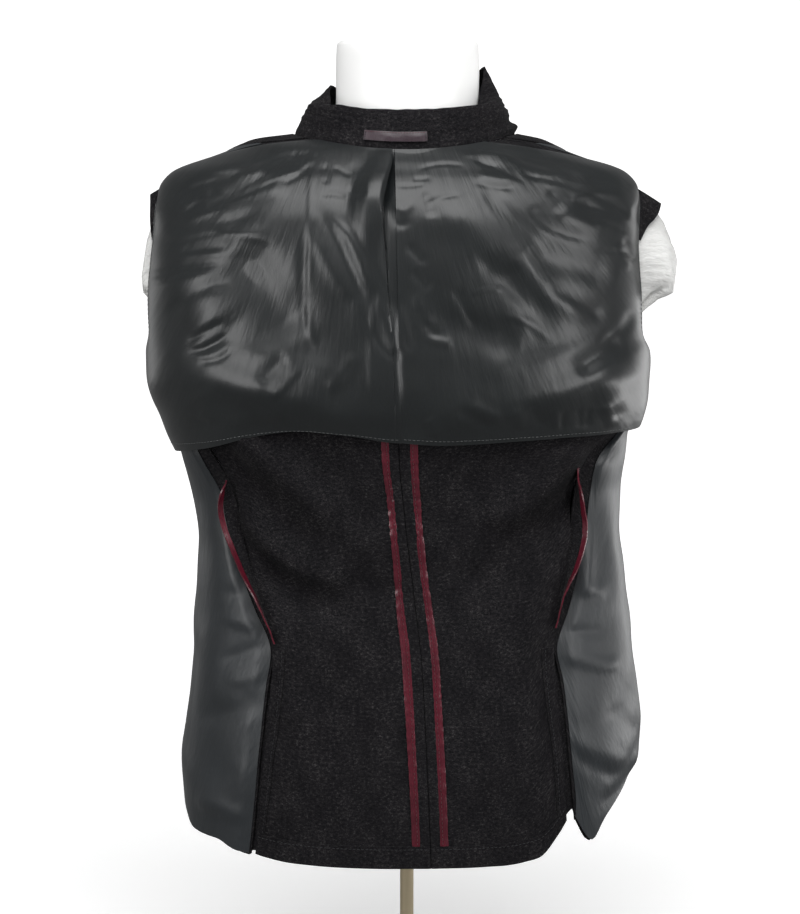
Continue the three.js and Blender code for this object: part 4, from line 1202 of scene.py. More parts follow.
# ------------------------------ half lining
# How far the half lining stands off the wool, in its middle and at its side edge.
STAND_OFF = Table("z middle edge", [
    (620, 7, 9), (650, 9, 13), (680, 14.5, 17), (705, 16, 16), (750, 10, 9), (795, 7, 6),
    (835, 7, 3.5), (870, 7, 2), (905, 6, 1.4), (930, 4.5, 1.4), (950, 2.2, 1.3), (957, 1.3, 1.3),
])
# The height of the half lining's hem, by place across.
LINING_HEM = Table("x z", [
    (-262, 622), (-215, 634), (-127, 657), (-78, 658), (-7, 647), (40, 645), (114, 648),
    (198, 651), (256, 652),
])
# The pleat, by height: places across, how far it rises and dips, and how far its roll overhangs.
PLEAT = Table("z begins crest fold rise dip tuck", [
    (640, -40, -21, -12, 0.4, 0, 0), (705, -47, -25, -13, 0.6, 0, 0), (750, -55, -31, -15, 0.8, 0, 0),
    (795, -62, -38, -19, 1.4, 0, 0), (845, -64, -40, -23, 3.2, -1.2, 0), (868, -62, -39, -24, 6, -3, 2),
    (890, -60, -38, -24, 9.5, -5, 7), (918, -52, -33, -20, 8, -5, 7), (941, -42, -24, -15.5, 4, -1.5, 4),
    (957, -36, -20, -15, 0.4, 0, 0),
])
LINING_HEIGHTS = np.array([
    650, 662, 682, 705, 730, 750, 772, 795, 820, 845, 870, 890, 905, 918, 930, 941, 950, 957,
], float)
LINING_SPANS = 12
LINING_SIDE = 87
LINING_FINE = 2.0
# The place that the fine creases run from, across and up, and the distance at which they are as
# far apart as the finish says.
LINING_FAN = (-30, 1110, 290)
LINING_STEEPEST = 0.215
LEAST_OFF = 1.2  # the lining never comes nearer to the wool than this
LOOSE_TOP = 660  # up to this height the side edge keeps one bearing
LOOSE_FADE, LOOSE_FADE_OVER = 760, 30  # below this height the edge is creased as well
EDGE_CALM = 9  # above it the creases fade out over this distance from the armhole
NECK_CALM, NECK_CALM_OVER = 953, 12  # and they fade out towards this height
GROOVE_DEEP, GROOVE_WIDE = 1.3, 2.0  # the centre seam shows as a groove low down
GROOVE_TOP, GROOVE_OVER = 790, 40
# Creases of the half lining, by distance across and height.
LINING_CREASES = crease_table([
    # from the left shoulder towards the neck
    (-240, 906, -200, 916, -150, 931, 3.0, 11),
    (-240, 896, -205, 905, -158, 921, -2.0, 7),
    (-236, 874, -222, 882, -205, 894, -3.2, 4.2, 0.3),
    (-238, 880, -218, 891, -198, 901, 2.6, 5.5),
    (-212, 878, -172, 901, -136, 922, -3.6, 4.4, 0.3),
    (-205, 889, -168, 910, -135, 928, 3.0, 7),
    (-200, 870, -160, 889, -118, 906, 2.6, 8),
    (-150, 916, -128, 929, -106, 941, -2.2, 4),
    (-130, 924, -112, 934, -95, 939, -1.5, 3.6),
    (-120, 914, -105, 924, -96, 934, 1.3, 3.6),
    (-128, 906, -112, 915, -99, 927, -1.4, 3.6),
    # across the left shoulder blade
    (-252, 866, -205, 860, -145, 881, -3.6, 9, 0.2),
    (-252, 851, -190, 859, -118, 847, 3.8, 8, 0.2),
    (-236, 838, -204, 843, -170, 846, -1.8, 6),
    (-176, 850, -142, 800, -106, 748, -6.0, 27),
    (-232, 826, -218, 786, -190, 748, 6.5, 32),
    (-250, 768, -212, 798, -175, 807, -2.4, 7),
    (-226, 744, -205, 757, -182, 771, -3.0, 4.6, 0.3),
    (-222, 739, -200, 750, -178, 762, 2.2, 4.4),
    (-224, 735, -200, 743, -181, 760, -2.6, 3.6),
    (-221, 731, -196, 735, -177, 749, 2.4, 3.8),
    (-214, 727, -192, 729, -176, 742, -2.0, 3.6),
    (-300, 752, -140, 697, 0, 672, 6.0, 24),
    (-190, 742, -120, 728, -50, 712, 2.4, 13),
    (-138, 691, -122, 706, -106, 726, 3.6, 5, 0.3),
    (-148, 704, -136, 722, -118, 737, -3.6, 8),
    (-84, 700, -66, 716, -52, 742, 2.2, 7),
    (-215, 700, -205, 680, -208, 660, 1.4, 12),
    # the tacked tuck left of the pleat
    (-96, 944, -98, 861, -99, 788, 2.4, 3.2),
    (-104, 868, -105, 806, -103, 750, -3.2, 5.5),
    (-101, 796, -99, 766, -92, 744, 2.0, 4),
    # the folds that sweep down across the pleat
    (-94, 893, -62, 832, -36, 772, -6.0, 7.5, 0.2),
    (-48, 790, -30, 752, -4, 728, -5.5, 6.5, 0.2),
    (-97, 866, -76, 821, -54, 790, 3.6, 8),
    (-72, 882, -50, 836, -32, 792, 4.0, 7.5),
    (-76, 880, -50, 852, -37, 814, -4.0, 5.5, 0.2),
    (-42, 832, -35, 806, -34, 782, -3.2, 4.5),
    (-22, 882, -30, 830, -12, 792, -4.0, 6),
    (-16, 802, -4, 766, 2, 736, -5.0, 6.5),
    (-32, 800, -19, 762, -10, 736, 3.2, 6.5),
    (-35, 790, -36, 742, -35, 680, 1.8, 3.6),
    (-76, 924, -66, 919, -55, 914, -1.5, 2.8),
    (-88, 927, -81, 916, -85, 905, -1.4, 3.6),
    (-60, 905, -52, 898, -38, 903, -1.4, 3.6),
    (-88, 894, -76, 897, -60, 893, -1.4, 3.8),
    # next to the pleat on the right
    (-18, 892, -10, 868, 4, 874, -3.6, 4.6),
    (-14, 888, -3, 881, 6, 894, 1.8, 4.6),
    (-14, 905, 4, 904.5, 19, 907, -2.0, 2.4),
    (4, 912, 14, 911, 24, 914, -1.3, 2.6),
    (14, 900, 22, 888, 24, 872, -1.6, 6),
    (-2, 848, 8, 838, 20, 825, -2.0, 5),
    (3, 822, 13, 812, 25, 800, -2.6, 5.5),
    (8, 802, 14, 781, 26, 764, 3.6, 5),
    (16, 756, 32, 750, 47, 748, 2.6, 4.6),
    (12, 790, 20, 766, 34, 752, -2.8, 5),
    (44, 807, 57, 783, 72, 760, -3.2, 5.5, 0.3),
    (62, 795, 80, 802, 98, 800, 1.3, 3),
    (90, 776, 122, 768, 150, 742, 2.0, 4),
    (14, 776, 70, 760, 116, 748, -5.0, 17),
    # from the neck to the right shoulder
    (68, 929, 93, 921, 124, 906, -2.8, 3.2, 0.3),
    (72, 935, 100, 930, 132, 914, 1.9, 5),
    (64, 932, 80, 927, 94, 923, -1.9, 2.8),
    (64, 910, 88, 904, 111, 903, -2.2, 3.2),
    (70, 918, 90, 912, 112, 910, 1.4, 4),
    (114, 923, 125, 916, 135, 912, -1.6, 3.6),
    (94, 940, 154, 921, 221, 900, -3.6, 5.5, 0.3),
    (132, 934, 194, 920, 230, 903, 3.2, 7.5),
    (168, 912, 200, 905, 232, 893, 2.2, 5),
    (168, 887, 204, 881, 232, 875, -4.2, 8, 0.2),
    (160, 893, 214, 894, 236, 866, 3.6, 6, 0.3),
    (140, 900, 156, 893, 172, 889, -2.0, 4),
    (124, 887, 146, 863, 197, 850, -4.8, 7.5, 0.3),
    (150, 886, 176, 868, 214, 861, 4.0, 11),
    (72, 904, 104, 876, 142, 840, -2.8, 9),
    (28, 888, 78, 850, 112, 818, 2.6, 17),
    # broad sweeps across the right shoulder blade
    (68, 843, 105, 805, 152, 760, -7.0, 13, 0.2),
    (112, 852, 136, 805, 198, 764, 6.0, 13),
    (138, 806, 174, 788, 204, 768, -5.0, 9, 0.2),
    (120, 851, 166, 826, 218, 812, -5.0, 17),
    (-12, 672, 130, 690, 300, 756, 6.0, 24),
    (60, 722, 140, 728, 232, 764, 2.6, 13),
    (190, 741, 222, 758, 237, 780, -4.2, 8),
    (168, 714, 195, 735, 224, 749, -4.0, 12),
    (222, 853, 230, 838, 238, 822, -3.6, 4.6),
    (212, 846, 222, 832, 232, 818, 2.2, 5),
    (186, 730, 206, 700, 216, 668, 2.4, 16),
    # fine lines that run in from the right shoulder
    (236, 872, 196, 893, 150, 905, -1.2, 2.8),
    (238, 862, 200, 884, 160, 896, 1.2, 3.4),
    (226, 893, 190, 906, 148, 915, -1.2, 2.6),
    (200, 915, 160, 927, 108, 938, -1.1, 2.6),
    (216, 884, 176, 897, 128, 908, 1.0, 3.0),
    (234, 852, 206, 866, 176, 872, -1.1, 2.8),
    (180, 903, 146, 911, 112, 917, -1.0, 2.6),
    (150, 932, 118, 940, 86, 943, -0.9, 2.6),
    (120, 930, 84, 936, 50, 934, 1.0, 3.0),
    (60, 924, 34, 926, 8, 920, -1.0, 2.6),
    (56, 896, 34, 893, 14, 884, -1.0, 3.0),
    (236, 832, 214, 838, 190, 838, -1.0, 3.0),
    # and from the left one
    (-244, 884, -206, 896, -166, 905, -1.1, 2.8),
    (-236, 864, -196, 880, -150, 896, 1.1, 3.4),
    (-226, 900, -186, 913, -142, 926, -1.1, 2.6),
    (-196, 884, -160, 898, -120, 916, -1.1, 2.6),
    (-180, 918, -146, 930, -110, 938, -1.0, 2.6),
    (-160, 900, -132, 912, -108, 922, 1.0, 3.0),
    (-248, 842, -216, 852, -180, 858, -1.1, 3.0),
    (-246, 826, -214, 834, -184, 836, 1.0, 3.4),
    (-252, 806, -224, 818, -196, 822, -1.0, 3.0),
    # puckers along the hem
    (46, 684, 66, 674, 86, 661, -2.6, 6),
    (56, 690, 78, 680, 98, 668, 1.8, 6),
    (104, 684, 112, 672, 116, 658, 1.6, 6),
    (120, 686, 131, 674, 138, 660, -3.0, 6),
    (148, 680, 152, 668, 154, 655, 1.6, 4),
    (160, 680, 158, 668, 160, 655, -2.2, 3.8),
    (172, 682, 177, 668, 178, 655, -2.2, 3.8),
    (188, 680, 185, 668, 187, 655, -2.0, 3.8),
    (202, 684, 208, 670, 214, 655, 2.0, 6),
    (-196, 660, -150, 672, -120, 676, 1.2, 9),
    (20, 676, 26, 664, 28, 652, 1.3, 6),
])


# By the neck the lining stops short of the shoulder seam and leaves the wool bare, in degrees.
LINING_SHY = Table("z left right", [
    (905, 0, 0), (918, 0.5, 1), (930, 1.5, 4), (941, 3, 9), (950, 5, 13), (957, 7, 15),
])


def lining_edge(name, z):
    rise = np.maximum(0, (z - LOOSE_TOP) / (CORNER - LOOSE_TOP))
    lower = mix(LINING_SIDE, back_edge(name, CORNER), rise**3)
    return np.where(z < CORNER, lower, back_edge(name, z)) - LINING_SHY.read(z, name)


def lining_grid(name, side):
    """The fine grid of one half of the lining, with its distance from the wool."""
    z = LINING_HEIGHTS[:, None]
    centre = np.abs(back_bearing(LINING_SEAM.read(z, "centre"), z)) * -side
    edge = lining_edge(name, z)
    columns = [(centre, 0 * z)]
    begins = centre
    if side < 0:
        def at(key, shift=0):
            return np.abs(back_bearing(PLEAT.read(z, key) + shift, z))
        begins = at("begins")
        rise, dip, tucked = (PLEAT.read(z, key) for key in ("rise", "dip", "tuck"))
        # Near the neck the roll of the pleat overhangs a gap, which is dark.
        columns += [
            (at("fold", 1), dip), (at("fold", -tucked), dip),
            (at("fold", -0.5 * tucked), dip + 0.35 * rise), (at("fold", -0.2), 0.62 * rise),
            (at("fold", -0.35 * tucked), 0.94 * rise), (at("crest", -1), rise),
            (mix(at("crest"), begins, 0.45), rise * 0.6), (begins, 0 * z),
        ]
    columns += [(mix(begins, edge, i / LINING_SPANS), 0 * z) for i in range(1, LINING_SPANS + 1)]
    bearings = np.hstack([bearing for bearing, _ in columns])
    extra = np.hstack([height for _, height in columns])
    share = np.clip((bearings - centre) / (edge - centre), 0, 1)
    height = np.repeat(z, bearings.shape[1], axis=1)
    across = body_point(side * bearings[0], 650.0)[:, 0]
    height[0] = LINING_HEM.read(across, "z")
    place, normal = body_point(side * bearings, height), body_normal(side * bearings, height)
    rest = mix(STAND_OFF.read(height, "middle"), STAND_OFF.read(height, "edge"), share**3)
    points = place + normal * np.maximum(rest + extra, LEAST_OFF)[..., None]
    return Grid(faced(side, np.concatenate([points, rest[..., None]], axis=-1)), LINING_FINE)


def build_back_lining(name, side):
    """Half of the upper back's lining, creased by listed folds, with its stitches."""
    panel = lining_grid(name, side)
    x, _, z = panel.axes()
    far = np.linalg.norm(np.diff(panel.points, axis=1), axis=-1)
    far = np.pad(np.cumsum(far, axis=1), ((0, 0), (1, 0)))
    to_edge = far if side < 0 else far[:, -1:] - far
    calm = np.maximum(smooth(to_edge / EDGE_CALM), smooth((LOOSE_FADE - z) / LOOSE_FADE_OVER))
    calm = calm * smooth((NECK_CALM - z) / NECK_CALM_OVER)
    relief = creased(LINING_CREASES, x, z, LINING_STEEPEST) * calm
    relief += ripples(x, z, 0.5, 70, 5) * calm
    seam = np.abs(x - LINING_SEAM.read(z, "centre"))
    groove = GROOVE_DEEP * np.exp(-((seam / GROOVE_WIDE) ** 2))
    relief -= groove * smooth((GROOVE_TOP - z) / GROOVE_OVER)
    room = panel.extra - LEAST_OFF
    panel.raised(np.maximum(relief, -room))
    panel.trimmed(side, SEAM, 1.2, top=SEAM)
    flow = fan(*LINING_FAN)
    shown = cloth(f"half_lining_{name}", panel, 0, SATIN, "satin", f"back_lining_{name}", flow)
    by_armhole = np.s_[panel.rows[5]:panel.rows[-7], 2 if side < 0 else -3]
    declare(shown, [f"back_cloth_{name}"], [
        stitches(f"stitches_lining_hem_{name}", panel, 2, SATIN, "thread"),
        stitches(f"stitches_armhole_{name}", panel, by_armhole, SATIN, "thread", 4.0, 0.8, 0.7),
    ])


# ------------------------------ collar
COLLAR_THICK = 2.4
FOLD_STEP = 4
# The collar's section, by bearing: the lengths of stand and leaf, and angles in degrees.
COLLAR = Table("bearing stand root lean fold leaf", [
    (-146, 30, 4, 6, 4, 22), (-125, 33, 10, 20, 8, 30), (-104, 33, 18, 30, 12, 26),
    (-90, 32, 24, 28, 22, 22), (-78, 33, 24, 24, 48, 18), (-68, 34, 22, 18, 90, 16),
    (-56, 36, 20, 16, 134, 20), (-36, 39, 16, 14, 155, 25), (0, 41, 14, 12, 165, 28),
    (36, 39, 16, 14, 155, 25), (56, 37, 20, 16, 134, 20), (68, 36, 22, 18, 86, 16),
    (78, 37, 24, 19, 42, 19), (90, 38, 24, 18, 12, 29), (104, 38, 16, 20, 8, 35),
    (125, 36, 8, 15, 6, 34), (146, 31, 4, 6, 4, 24),
])
COLLAR_COLUMNS = 30
COLLAR_END = 146
COLLAR_INSET = 1.7
COLLAR_FINE = 2.2
# Lines quilted along the stand, by distance up from the neck seam.
COLLAR_RIDGES = Table("up high wide", [
    (6, 0.8, 2.4), (21, 1.6, 2.8), (28, 1.4, 2.2), (34, 1.6, 2.2), (40, 1.0, 2.2),
])
# On the right the folded front pushes the collar out in two rolls.
COLLAR_ROLLS = Table("up high wide", [(8, 6.0, 5.0), (25, 2.5, 5.0)])
COLLAR_REACH = 110  # turns an angle round the neck into a distance
ROLLS_AT, ROLLS_WIDE = 168, 24
LOOP_POINTS = 7
LOOP_THICK = 1.0
LOOP_FINE = 1.5
LOOP_OFF = 1.0
LOOP_FROM, LOOP_TO = -46, 21
LOOP_LOW, LOOP_HIGH = 8.5, 18.4
LOOP_BOW = 2.2


def collar_section(bearing):
    """The places of the collar's section above the neck seam: stand, fold and leaf."""
    bearing = np.atleast_1d(np.asarray(bearing, float))
    place = body_point(bearing, NECK)
    value = {key: COLLAR.read(bearing, key) for key in ("stand", "root", "lean", "fold", "leaf")}
    inward = unit(np.stack([-place[:, 0], -place[:, 1] * 1.3, 0 * bearing], axis=-1))
    lean, fold = value["lean"], value["fold"]
    spans = (
        (value["stand"] * 0.45, value["root"]), (value["stand"] * 0.55, lean),
        (FOLD_STEP, lean + fold / 3), (FOLD_STEP, lean + fold * 2 / 3),
        (value["leaf"] * 0.5, lean + fold), (value["leaf"] * 0.5, lean + fold),
    )
    point = place + inward * COLLAR_INSET + np.array([0, 0, GAP])
    section = [point]
    for length, angle in spans:
        turn = np.radians(angle)
        point = point + inward * np.reshape(length * np.sin(turn), (-1, 1))
        point = point + np.array([0, 0, 1.0]) * np.reshape(length * np.cos(turn), (-1, 1))
        section.append(point)
    return np.stack(section)


def build_collar():
    """The collar, quilted and rolled, and the hanger loop on its stand."""
    bearings = np.linspace(-COLLAR_END, COLLAR_END, COLLAR_COLUMNS + 1)
    grid = Grid(collar_section(bearings), COLLAR_FINE)
    up = np.pad(np.cumsum(lengths(grid.points), axis=0), ((1, 0), (0, 0)))
    x, y, _ = grid.axes()
    around = np.arctan2(x, -y) * COLLAR_REACH
    near = np.exp(-(((around - ROLLS_AT) / ROLLS_WIDE) ** 2))
    relief = np.zeros(up.shape)
    for rows, share in ((COLLAR_RIDGES.rows, 1.0), (COLLAR_ROLLS.rows, near)):
        for row in rows:
            relief += share * row["high"] * np.exp(-(((up - row["up"]) / row["wide"]) ** 2))
    relief += ripples(around, up, 0.35, 34, 12) + ripples(around / 4, up, 0.3, 9, 13)
    grid.raised(relief * smooth(up / 5) - 0.5)
    collar = cloth("collar_cloth", grid, -COLLAR_THICK, 0, "wool", "collar")

    x = np.linspace(LOOP_FROM, LOOP_TO, LOOP_POINTS)
    section = collar_section(back_bearing(x, np.full(LOOP_POINTS, NECK)))
    rise = np.linalg.norm(section[2] - section[0], axis=-1)[:, None]
    rows = []
    for up_by in (LOOP_LOW, (LOOP_LOW + LOOP_HIGH) / 2, LOOP_HIGH):
        row = section[0] + (section[2] - section[0]) * up_by / rise
        row[:, 1] -= LOOP_OFF + np.sin(np.linspace(0, np.pi, LOOP_POINTS)) * LOOP_BOW
        rows.append(row)
    loop = Grid(np.stack(rows), LOOP_FINE)
    share = np.linspace(0, 1, loop.points.shape[0])[:, None]
    x, _, z = loop.axes()
    wavy = ripples(x, z, 0.15, 14, 2)
    loop.raised(0.4 * np.sin(np.pi * share) + wavy)
    strap = cloth("hanger_loop_satin", loop, 0, LOOP_THICK, "loop", "hanger_loop")
    trims = [
        stitches(f"stitches_loop_{label}", loop, pick, LOOP_THICK, finish, *sizes)
        for label, pick, finish, sizes in (
            ("left", np.s_[:, 1], "dark_thread", (1.6, 0.5, 0.9)),
            ("right", np.s_[:, -2], "dark_thread", (1.6, 0.5, 0.9)),
            ("edge", -2, "red_thread", (2.2, 0.7, 0.6)),
        )
    ]
    declare(collar, ["torso_form"])
    declare(strap, ["collar_cloth"], trims)


# ------------------------------ sleeves
SLEEVE = 1.4
SLEEVE_POINTS = 20
SLEEVE_INSIDE = (3.9, 1.8)  # from the armhole's edge to the sleeve: under the arm, at the head
BULGE = {"left": 15, "right": 42}  # how far each sleeve head bulges out of its armhole
# How deep inside the body a sleeve hangs, half its thickness, and half its breadth in degrees.
SLEEVE_DROP = Table("z middle half reach", [
    (350, 18, 9, 25), (440, 20, 10, 26), (520, 20, 11, 28), (600, 19, 10, 26), (655, 17, 9, 20),
])
SLEEVE_LEVELS = (655, 570, 460, 350)
SLEEVE_FINE = 4.0
SLEEVE_SLANT = 20
BULGE_LOW = 792  # where the bulge turns back towards the body
PUFF_LOW, PUFF_OVER = 770, 20  # the creases fade out towards this height
PUFF_START = 14  # and over the first one in so many of its rows, next to the armhole
PUFF_SHARE = {"left": 0.5, "right": 1.0}
ARMHOLE_MIDDLE = (92, 815)  # bearing and height
# Creases of the sleeve heads, by depth and height.
PUFF_CREASES = crease_table([
    (-74, 850, -42, 826, -6, 806, -3.4, 5),
    (-62, 840, -34, 816, -4, 796, 3.0, 6),
    (-70, 876, -40, 858, -8, 842, -3.0, 5),
    (-60, 864, -30, 846, 4, 836, 2.6, 5),
    (-54, 812, -28, 796, 4, 788, -3.0, 5),
    (-34, 886, -14, 852, -6, 806, -2.6, 6),
    (0, 886, 6, 850, -2, 800, 3.0, 6),
    (16, 876, 28, 840, 32, 800, -3.0, 6),
    (34, 860, 46, 820, 42, 796, 2.6, 6),
    (-24, 870, -18, 836, -24, 798, 2.2, 4),
    (-50, 868, -44, 838, -46, 804, -2.4, 4),
])
# How wide the wool allowance over a sleeve head is, by its share of the way round the armhole.
HEAD = Table("turn left right", [
    (-0.14, 3, 4), (-0.1, 6, 12), (-0.05, 10, 23), (0.0, 12, 30), (0.04, 9, 23), (0.08, 6, 11),
    (0.12, 3, 4),
])
HEAD_COLUMNS = 12
HEAD_FINE = 1.8
HEAD_FALL = -0.62  # how steeply the head's allowance falls as it runs out
STRAIGHT_SHARE = 0.68  # of a half of the armhole, from the shoulder down to the corner


def armhole_middle(side):
    bearing, z = ARMHOLE_MIDDLE
    return body_point(side * bearing, z)


def armhole_place(name, side, t):
    """A place on the armhole's edge, by its share of the way round, and the normal there."""
    back = t < 0.5
    share = t * 2 if back else (1 - t) * 2
    edge = name + ("_back" if back else "_front")
    if share < STRAIGHT_SHARE:
        z = mix(SHOULDER_TIP, CORNER, share / STRAIGHT_SHARE)
        bearing = float(ARMHOLE.read(z, edge))
    else:
        below = (share - STRAIGHT_SHARE) / (1 - STRAIGHT_SHARE)
        bearing = mix(float(ARMHOLE.read(CORNER, edge)), 90, below)
        z = float(armhole_bottom(name, bearing))
    return body_point(side * bearing, z), body_normal(side * bearing, z)


def sleeve_path(name, side, t):
    """The run of a sleeve's wall from a point of the armhole's edge to the cuff."""
    turn = t * 2 * np.pi
    up = (1 + np.cos(turn)) / 2
    edge, normal = armhole_place(name, side, t)
    middle = armhole_middle(side)
    share = float(smooth((up - 0.24) / 0.6))
    start = edge + unit(middle - edge) * mix(*SLEEVE_INSIDE, min(1, share * 3))
    bulge = share * BULGE[name]
    inset = 6 * (1 - min(1, share * 2))

    def at(out, narrow, z):
        point = start - normal * inset * (1 - out * 0.2)
        return np.array([point[0] + side * bulge * out, point[1] * narrow, z])

    lowest = mix(start[2], BULGE_LOW, share)
    path = [
        start,
        at(0.3, 0.98, start[2] - 14 * share),
        at(0.76, 0.94, mix(start[2], lowest, 0.34 * share)),
        at(1, 0.88, mix(start[2], lowest, 0.62)),
        at(0.96, 0.82, lowest),
        at(0.55, 0.76, lowest - 7 * share),
    ]

    def inside(z, deep, reach):
        bearing = side * (91 - reach * np.sin(turn))
        return body_point(bearing, z) - body_normal(bearing, z) * deep

    path.append(inside(mix(700, 752, up), mix(8, 15, up), 13))
    for z in SLEEVE_LEVELS:
        deep = SLEEVE_DROP.read(z, "middle") + SLEEVE_DROP.read(z, "half") * np.cos(turn)
        path.append(inside(z, deep, SLEEVE_DROP.read(z, "reach")))
    return path


def build_sleeve(name, side):
    """A sleeve, pulled inside the body, and the wool allowance over its head."""
    turns = [i / SLEEVE_POINTS for i in range(SLEEVE_POINTS)]
    if side < 0:
        turns = [(1 - t) % 1 for t in turns]
    columns = np.array([sleeve_path(name, side, t) for t in turns])
    grid = Grid(columns.transpose(1, 0, 2), SLEEVE_FINE, closed=True)
    _, y, z = grid.axes()
    down = np.linspace(0, 1, len(grid.points))[:, None]
    puff = smooth((z - PUFF_LOW) / PUFF_OVER) * smooth(down * PUFF_START) * PUFF_SHARE[name]
    grid.raised(creased(PUFF_CREASES, y, z) * puff + ripples(y, z, 1.1, 24, 15) * puff)
    flow = slanted(SLEEVE_SLANT)
    made = cloth(f"sleeve_satin_{name}", grid, -SLEEVE, 0, "ivory", f"sleeve_{name}", flow)
    declare(made, [f"side_cloth_{name}"])

    middle = armhole_middle(side)
    places = np.linspace(HEAD.at[0], HEAD.at[-1], HEAD_COLUMNS + 1)
    out = unit(np.array([side, 0, HEAD_FALL]))
    rows = []
    for share in (0, 0.5, 1):
        row = []
        for turn in places:
            edge, normal = armhole_place(name, side, (turn + 1) % 1)
            root = edge + normal * GAP * 4 + unit(middle - edge) * 1.5
            row.append(root + out * HEAD.read(turn, name) * share)
        rows.append(row[::-1] if side > 0 else row)
    flap = Grid(np.array(rows[::-1]), HEAD_FINE)
    _, y, z = flap.axes()
    flap.raised(ripples(y, z, 0.4, 22, 17))
    made = cloth(f"sleeve_head_wool_{name}", flap, 0, STRIP, "wool", f"sleeve_head_{name}")
    declare(made, [f"back_cloth_{name}"])


# ------------------------------ buttons
BUTTON_RADIUS = 10
BUTTON_HEIGHTS = (500, 395)
BUTTON_FROM_EDGE = 20


def build_buttons():
    r = BUTTON_RADIUS
    profile = [
        (r * 0.5, 0), (r - 1.2, 0), (r - 0.4, 0.7), (r, 1.6), (r, 2.6), (r - 0.5, 3.2), (r - 1.3, 3.5),
        (r - 2.2, 3.3), (r - 2.9, 2.7), (r * 0.35, 2.5),
    ]
    for i, z in enumerate(BUTTON_HEIGHTS):
        edge = front_bearing(1, FRONT_EDGE.read(z, "half"), z)
        bearing = along(edge, z, -BUTTON_FROM_EDGE)
        normal = body_normal(bearing, z)
        place = body_point(bearing, z) - normal * (WOOL + 2 * GAP)
        made = lathe(f"horn_button_{i + 1}", profile, 40, "horn", f"button_{i + 1}")
        turn = Vector((0, 0, 1)).rotation_difference(Vector(-normal)).to_matrix().to_4x4()
        made.data.transform(Matrix.Translation(Vector(place * MM)) @ turn)


# ------------------------------ form and stand
FORM = Table("z left right back front round dip_back dip_front", [
    (306, 166, 166, 98, 92, 2.2, 0, 0), (320, 171, 171, 103, 96, 2.2, 0, 0),
    (380, 170, 170, 99, 94, 2.2, 0, 0), (460, 158, 158, 88, 90, 2.2, 0, 0),
    (530, 152, 152, 82, 92, 2.2, 0, 0), (600, 162, 162, 90, 100, 2.2, 0, 0),
    (670, 178, 178, 100, 108, 2.2, 0, 0), (730, 192, 192, 106, 112, 2.15, 0, 0),
    (775, 210, 210, 108, 110, 2.0, 0, 0), (815, 230, 224, 106, 106, 1.9, 0, 2),
    (850, 238, 230, 100, 98, 1.9, 1, 6), (882, 236, 226, 94, 88, 1.95, 3, 14),
])
# How far under the jacket's shoulders the form's shoulders lie.
SHOULDER_REST = Table("z under", [
    (905, 12), (918, 6.5), (930, 4.8), (941, 4.7), (950, 5.1), (957, 4.5),
])
FORM_NECK = Table("z left right back front round dip_back dip_front", [
    (958, 99, 95, 66, 66, 2.0, 16, 52), (964, 85, 85, 60, 63, 2.0, 10, 34),
    (976, 77, 77, 58, 61, 2.0, 4, 16), (996, 75, 76, 57, 60, 2.0, 1, 5),
    (1024, 75, 76, 57, 60, 2.0, 0, 0), (1050, 74, 75, 57, 60, 2.0, 0, 0),
])
FORM_POINTS = 96
FORM_STEP = 9  # longest step of the form's grid
POLE_RADIUS = 7.5
BASE_RADIUS = 150
BASE_HIGH = 10
FLANGE_RADIUS = 34
FLANGE_HIGH = 8


def build_form():
    bearings = np.linspace(-180, 180, FORM_POINTS, endpoint=False)
    rings = [loop_point(FORM, bearings, z) for z in FORM.at]
    for row in SHOULDER_REST.rows:
        z = row["z"]
        rings.append(body_point(bearings, z) - body_normal(bearings, z) * row["under"])
    rings += [loop_point(FORM_NECK, bearings, z) for z in FORM_NECK.at]
    # The flat top has a small rounded edge, and so has the underside.
    top, under = rings[-1], rings[0]
    def inset(ring, share, rise):
        return np.concatenate([ring[:, :2] * share, ring[:, 2:] + rise], axis=1)
    rings += [inset(top, 0.985, 3), inset(top, 0.95, 4.6), inset(top, 0.9, 5), inset(top, 0.3, 5)]
    rings = [inset(under, 0.3, 0), inset(under, 0.93, 0), *rings]
    skinned = Grid(np.array(rings), FORM_STEP, closed=True)
    solid("form_body", skinned.points, "form", "torso_form")
    flange_top = FORM.at[0] - GAP
    low = flange_top - FLANGE_HIGH
    lathe("stand_flange", [
        (10, low), (FLANGE_RADIUS - 1, low), (FLANGE_RADIUS, low + 1), (FLANGE_RADIUS, flange_top - 1),
        (FLANGE_RADIUS - 1, flange_top), (10, flange_top),
    ], 64, "brass", "form_flange")
    foot = BASE_HIGH + GAP
    pole_top = low - GAP
    r = POLE_RADIUS
    lathe("stand_pole", [
        (r - 0.8, foot), (r, foot + 0.8), (r, foot + 90), (r, foot + 180), (r, pole_top - 0.8),
        (r - 0.8, pole_top),
    ], 48, "brass", "pole")
    bore = POLE_RADIUS + GAP
    lathe_ring("stand_socket", [
        (bore, foot), (23.4, foot), (24, foot + 0.6), (22, foot + 6), (18, foot + 11), (15, foot + 18),
        (13.4, foot + 25), (12.8, foot + 26), (bore, foot + 26),
    ], 64, "brass", "pole_socket")
    lathe("stand_base", [
        (40, 0), (BASE_RADIUS - 2, 0), (BASE_RADIUS - 0.6, 0.6), (BASE_RADIUS, 2),
        (BASE_RADIUS, BASE_HIGH - 4), (BASE_RADIUS - 0.8, BASE_HIGH - 1.4),
        (BASE_RADIUS - 2.6, BASE_HIGH - 0.3), (BASE_RADIUS - 5, BASE_HIGH), (30, BASE_HIGH),
    ], 128, "paint", "base")


